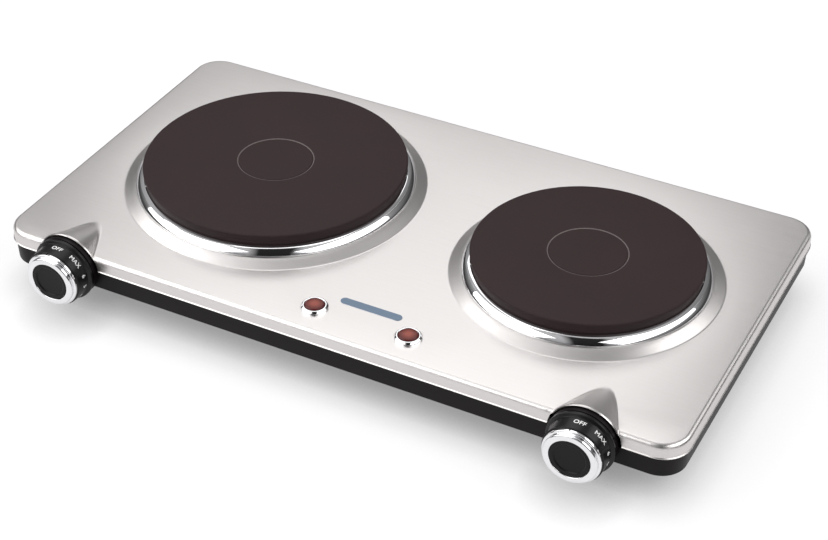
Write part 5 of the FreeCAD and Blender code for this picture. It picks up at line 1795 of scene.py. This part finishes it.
@dataclass
class Badge:
    """A bare oblong plate between the lamps."""

    top: SteelTop
    length: float = 44.0 * MM
    width: float = 6.0 * MM
    ahead: float = 14.8 * MM
    aside: float = -0.5 * MM
    thickness: float = 0.35 * MM
    edge: float = 0.12 * MM
    edge_angle: float = 60.0
    end_steps: int = 24
    crease: float = 20.0

    def build(self) -> None:
        """Cut the plate with a round edge and lay it on the steel."""
        lamps = [Disc.of(f"{side.value}_lamp_lens") for side in Side]
        x = sum(disc.centre[0] for disc in lamps) / 2 + self.aside
        y = lamps[0].centre[1] + self.ahead
        line = oblong((0.0, 0.0), self.length, self.width, self.end_steps)
        place = Matrix.Translation((x, y, self.top.face_z + self.thickness))
        piece = add_piece("badge_plate", plate_shape(SheetPlan(line), self.thickness, place), BADGE_BLUE)
        bevel = piece.modifiers.new("edge", "BEVEL")
        bevel.width = self.edge
        bevel.segments = 2
        bevel.angle_limit = math.radians(self.edge_angle)
        settle(baked(piece, self.crease), HOUSING)


# Inner parts and studio


@dataclass
class InnerWorks:
    """The CAD nodes' own meshes, and the finish of each slot."""

    finishes: dict[str, Finish]

    def dress(self) -> None:
        """Give every CAD node the finish of its slot; pieces made later hide some of the nodes."""
        slots = {part["node"]: part["material_slot"] for part in frame["record"]["subparts"]}
        for name, node in frame["nodes"].items():
            finish = self.finishes[slots[name]]
            node.data.materials.clear()
            node.data.materials.append(finish.material())
            log.info("%s dressed as %s", name, finish.name)


def aimed(azimuth: float, elevation: float) -> Vector:
    """Give the direction at an azimuth from the front, towards the right, and at an elevation, in degrees."""
    turn, tilt = math.radians(azimuth), math.radians(elevation)
    return Vector((math.sin(turn) * math.cos(tilt), -math.cos(turn) * math.cos(tilt), math.sin(tilt)))


@dataclass(frozen=True)
class SoftBox:
    """A soft lamp: its direction from the object in degrees, its distance, size and power."""

    name: str
    azimuth: float
    elevation: float
    distance: float
    size: Point
    power: float

    def hang(self) -> None:
        """Add the lamp to the scene, facing the object."""
        light = bpy.data.lights.new(self.name, "AREA")
        light.shape = "RECTANGLE"
        light.size, light.size_y = self.size
        light.energy = self.power
        lamp = bpy.data.objects.new(self.name, light)
        way = aimed(self.azimuth, self.elevation)
        lamp.location = way * self.distance
        lamp.rotation_mode = "QUATERNION"
        lamp.rotation_quaternion = (-way).to_track_quat("-Z", "Y")
        bpy.context.scene.collection.objects.link(lamp)


@dataclass
class Studio:
    """Floor, lamps, surroundings and camera."""

    floor_size: float = 12.0
    sky_ends: tuple[Point, ...] = ((0.0, 0.5), (1.0, 0.52))
    sky_stops: tuple[Point, ...] = ((0.5, 0.05), (0.57, 0.06), (0.64, 0.16), (0.74, 0.33), (0.82, 0.42))
    sky_blue: float = 1.01
    strip: Point = (0.16, 0.1)
    strip_start: Point = (0.12, 0.25)
    strip_edge: Point = (0.75, 1.25)
    strip_depth: float = 0.96
    shade_place: Point = (164.0, 32.0)
    shade_reach: Point = (30.0, 8.0)
    shade_depth: float = 0.5
    camera_place: Place = (0.470206, -0.910698, 0.774359)
    azimuth: float = 26.9465
    elevation: float = 36.4478
    roll: float = 0.4927
    lens: float = 80.8493
    sensor: float = 36.0

    def build(self) -> None:
        """Set the whole studio up."""
        bpy.context.scene.view_settings.view_transform = "Standard"
        self.lay_floor()
        self.light_world()
        for lamp in self.lamps():
            lamp.hang()
        self.set_camera()

    def lamps(self) -> list[SoftBox]:
        """List the soft lamps round the object, as seen from its middle."""
        return [
            SoftBox("back_panel", -150.5, 57.0, 2.0, (1.18, 1.7), 7.2),
            SoftBox("front_left_panel", -52.0, 38.0, 1.8, (2.5, 1.5), 25.0),
            SoftBox("right_panel", 93.0, 43.0, 1.8, (2.4, 1.1), 16.0),
        ]

    def lay_floor(self) -> None:
        """Lay a pale floor."""
        shape = bmesh.new()
        bmesh.ops.create_grid(shape, x_segments=1, y_segments=1, size=self.floor_size / 2)
        add_piece("floor", shape, PaleFloor("pale floor"))

    def light_world(self) -> None:
        """Shade the surroundings: half light overhead, dim low down and dark behind the camera."""
        world = bpy.data.worlds.new("studio")
        world.use_nodes = True
        bpy.context.scene.world = world
        board = NodeBoard(world.node_tree)
        way = board.add("ShaderNodeTexCoord").outputs["Generated"]
        parts = board.add("ShaderNodeSeparateXYZ", {0: way}).outputs
        share = board.ranged(parts["Z"], (-1.0, 1.0), (0.0, 1.0))
        greys = [*self.sky_ends, *self.sky_stops]
        sky = board.ramp(share, [(place, (grey, grey, grey * self.sky_blue)) for place, grey in greys])
        dark = board.sum("MULTIPLY", self.camera_strip(board, way), self.strip_depth)
        dark = board.sum("MAXIMUM", dark, self.far_shade(board, way))
        background = world.node_tree.nodes["Background"]
        board.fill(background, {"Color": sky, "Strength": board.sum("SUBTRACT", 1.0, dark)})

    def camera_strip(self, board: NodeBoard, way: Input) -> Socket:
        """Mark the strip that runs from behind the camera almost to the zenith, wider low down."""
        across, ahead = aimed(self.azimuth + 90.0, 0.0), aimed(self.azimuth, 0.0)
        aside = board.sum("ABSOLUTE", board.measured("DOT_PRODUCT", way, across), 0.0)
        reach = board.measured("LENGTH", board.level(way))
        start, growth = self.strip
        limit = board.sum("ADD", board.sum("MULTIPLY", reach, growth), start)
        inside = board.ranged(board.sum("DIVIDE", aside, limit), self.strip_edge, (1.0, 0.0))
        front = board.measured("DOT_PRODUCT", way, ahead)
        return board.sum("MULTIPLY", inside, board.ranged(front, self.strip_start, (0.0, 1.0)))

    def far_shade(self, board: NodeBoard, way: Input) -> Socket:
        """Mark the dimmer stretch of the surroundings beyond the right rear corner."""
        near = board.measured("DOT_PRODUCT", way, aimed(*self.shade_place))
        outer, inner = (math.cos(math.radians(angle)) for angle in self.shade_reach)
        return board.ranged(near, (outer, inner), (0.0, self.shade_depth))

    def set_camera(self) -> None:
        """Stand the camera where the photograph was taken from."""
        roll = math.radians(self.roll)
        back = aimed(self.azimuth, self.elevation)
        level = aimed(self.azimuth + 90.0, 0.0)
        right = level * math.cos(roll) + back.cross(level) * math.sin(roll)
        up = back.cross(right)
        data = bpy.data.cameras.new("camera")
        data.sensor_fit = "HORIZONTAL"
        data.sensor_width = self.sensor
        data.lens = self.lens
        camera = bpy.data.objects.new("camera", data)
        camera.matrix_world = Matrix.LocRotScale(
            Vector(self.camera_place), Matrix((right, up, back)).transposed().to_quaternion(), None
        )
        bpy.context.scene.collection.objects.link(camera)
        bpy.context.scene.camera = camera


def main() -> None:
    """Build the pieces in order."""
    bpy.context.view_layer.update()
    InnerWorks(SLOT_FINISH).dress()
    top = SteelTop()
    top.build()
    base = BasePan(top)
    base.build()
    Underside().build(base.belly_z, base.shelf_z)
    tree = DialTree()
    for side in Side:
        Burner(side, top).build()
        DialKnob(side, tree).build()
        SignalLamp(side, top).build()
    Badge(top).build()
    Studio().build()
    bpy.context.view_layer.update()


if __name__ == "__main__":
    logging.basicConfig(level=logging.INFO, format="%(message)s")
    main()
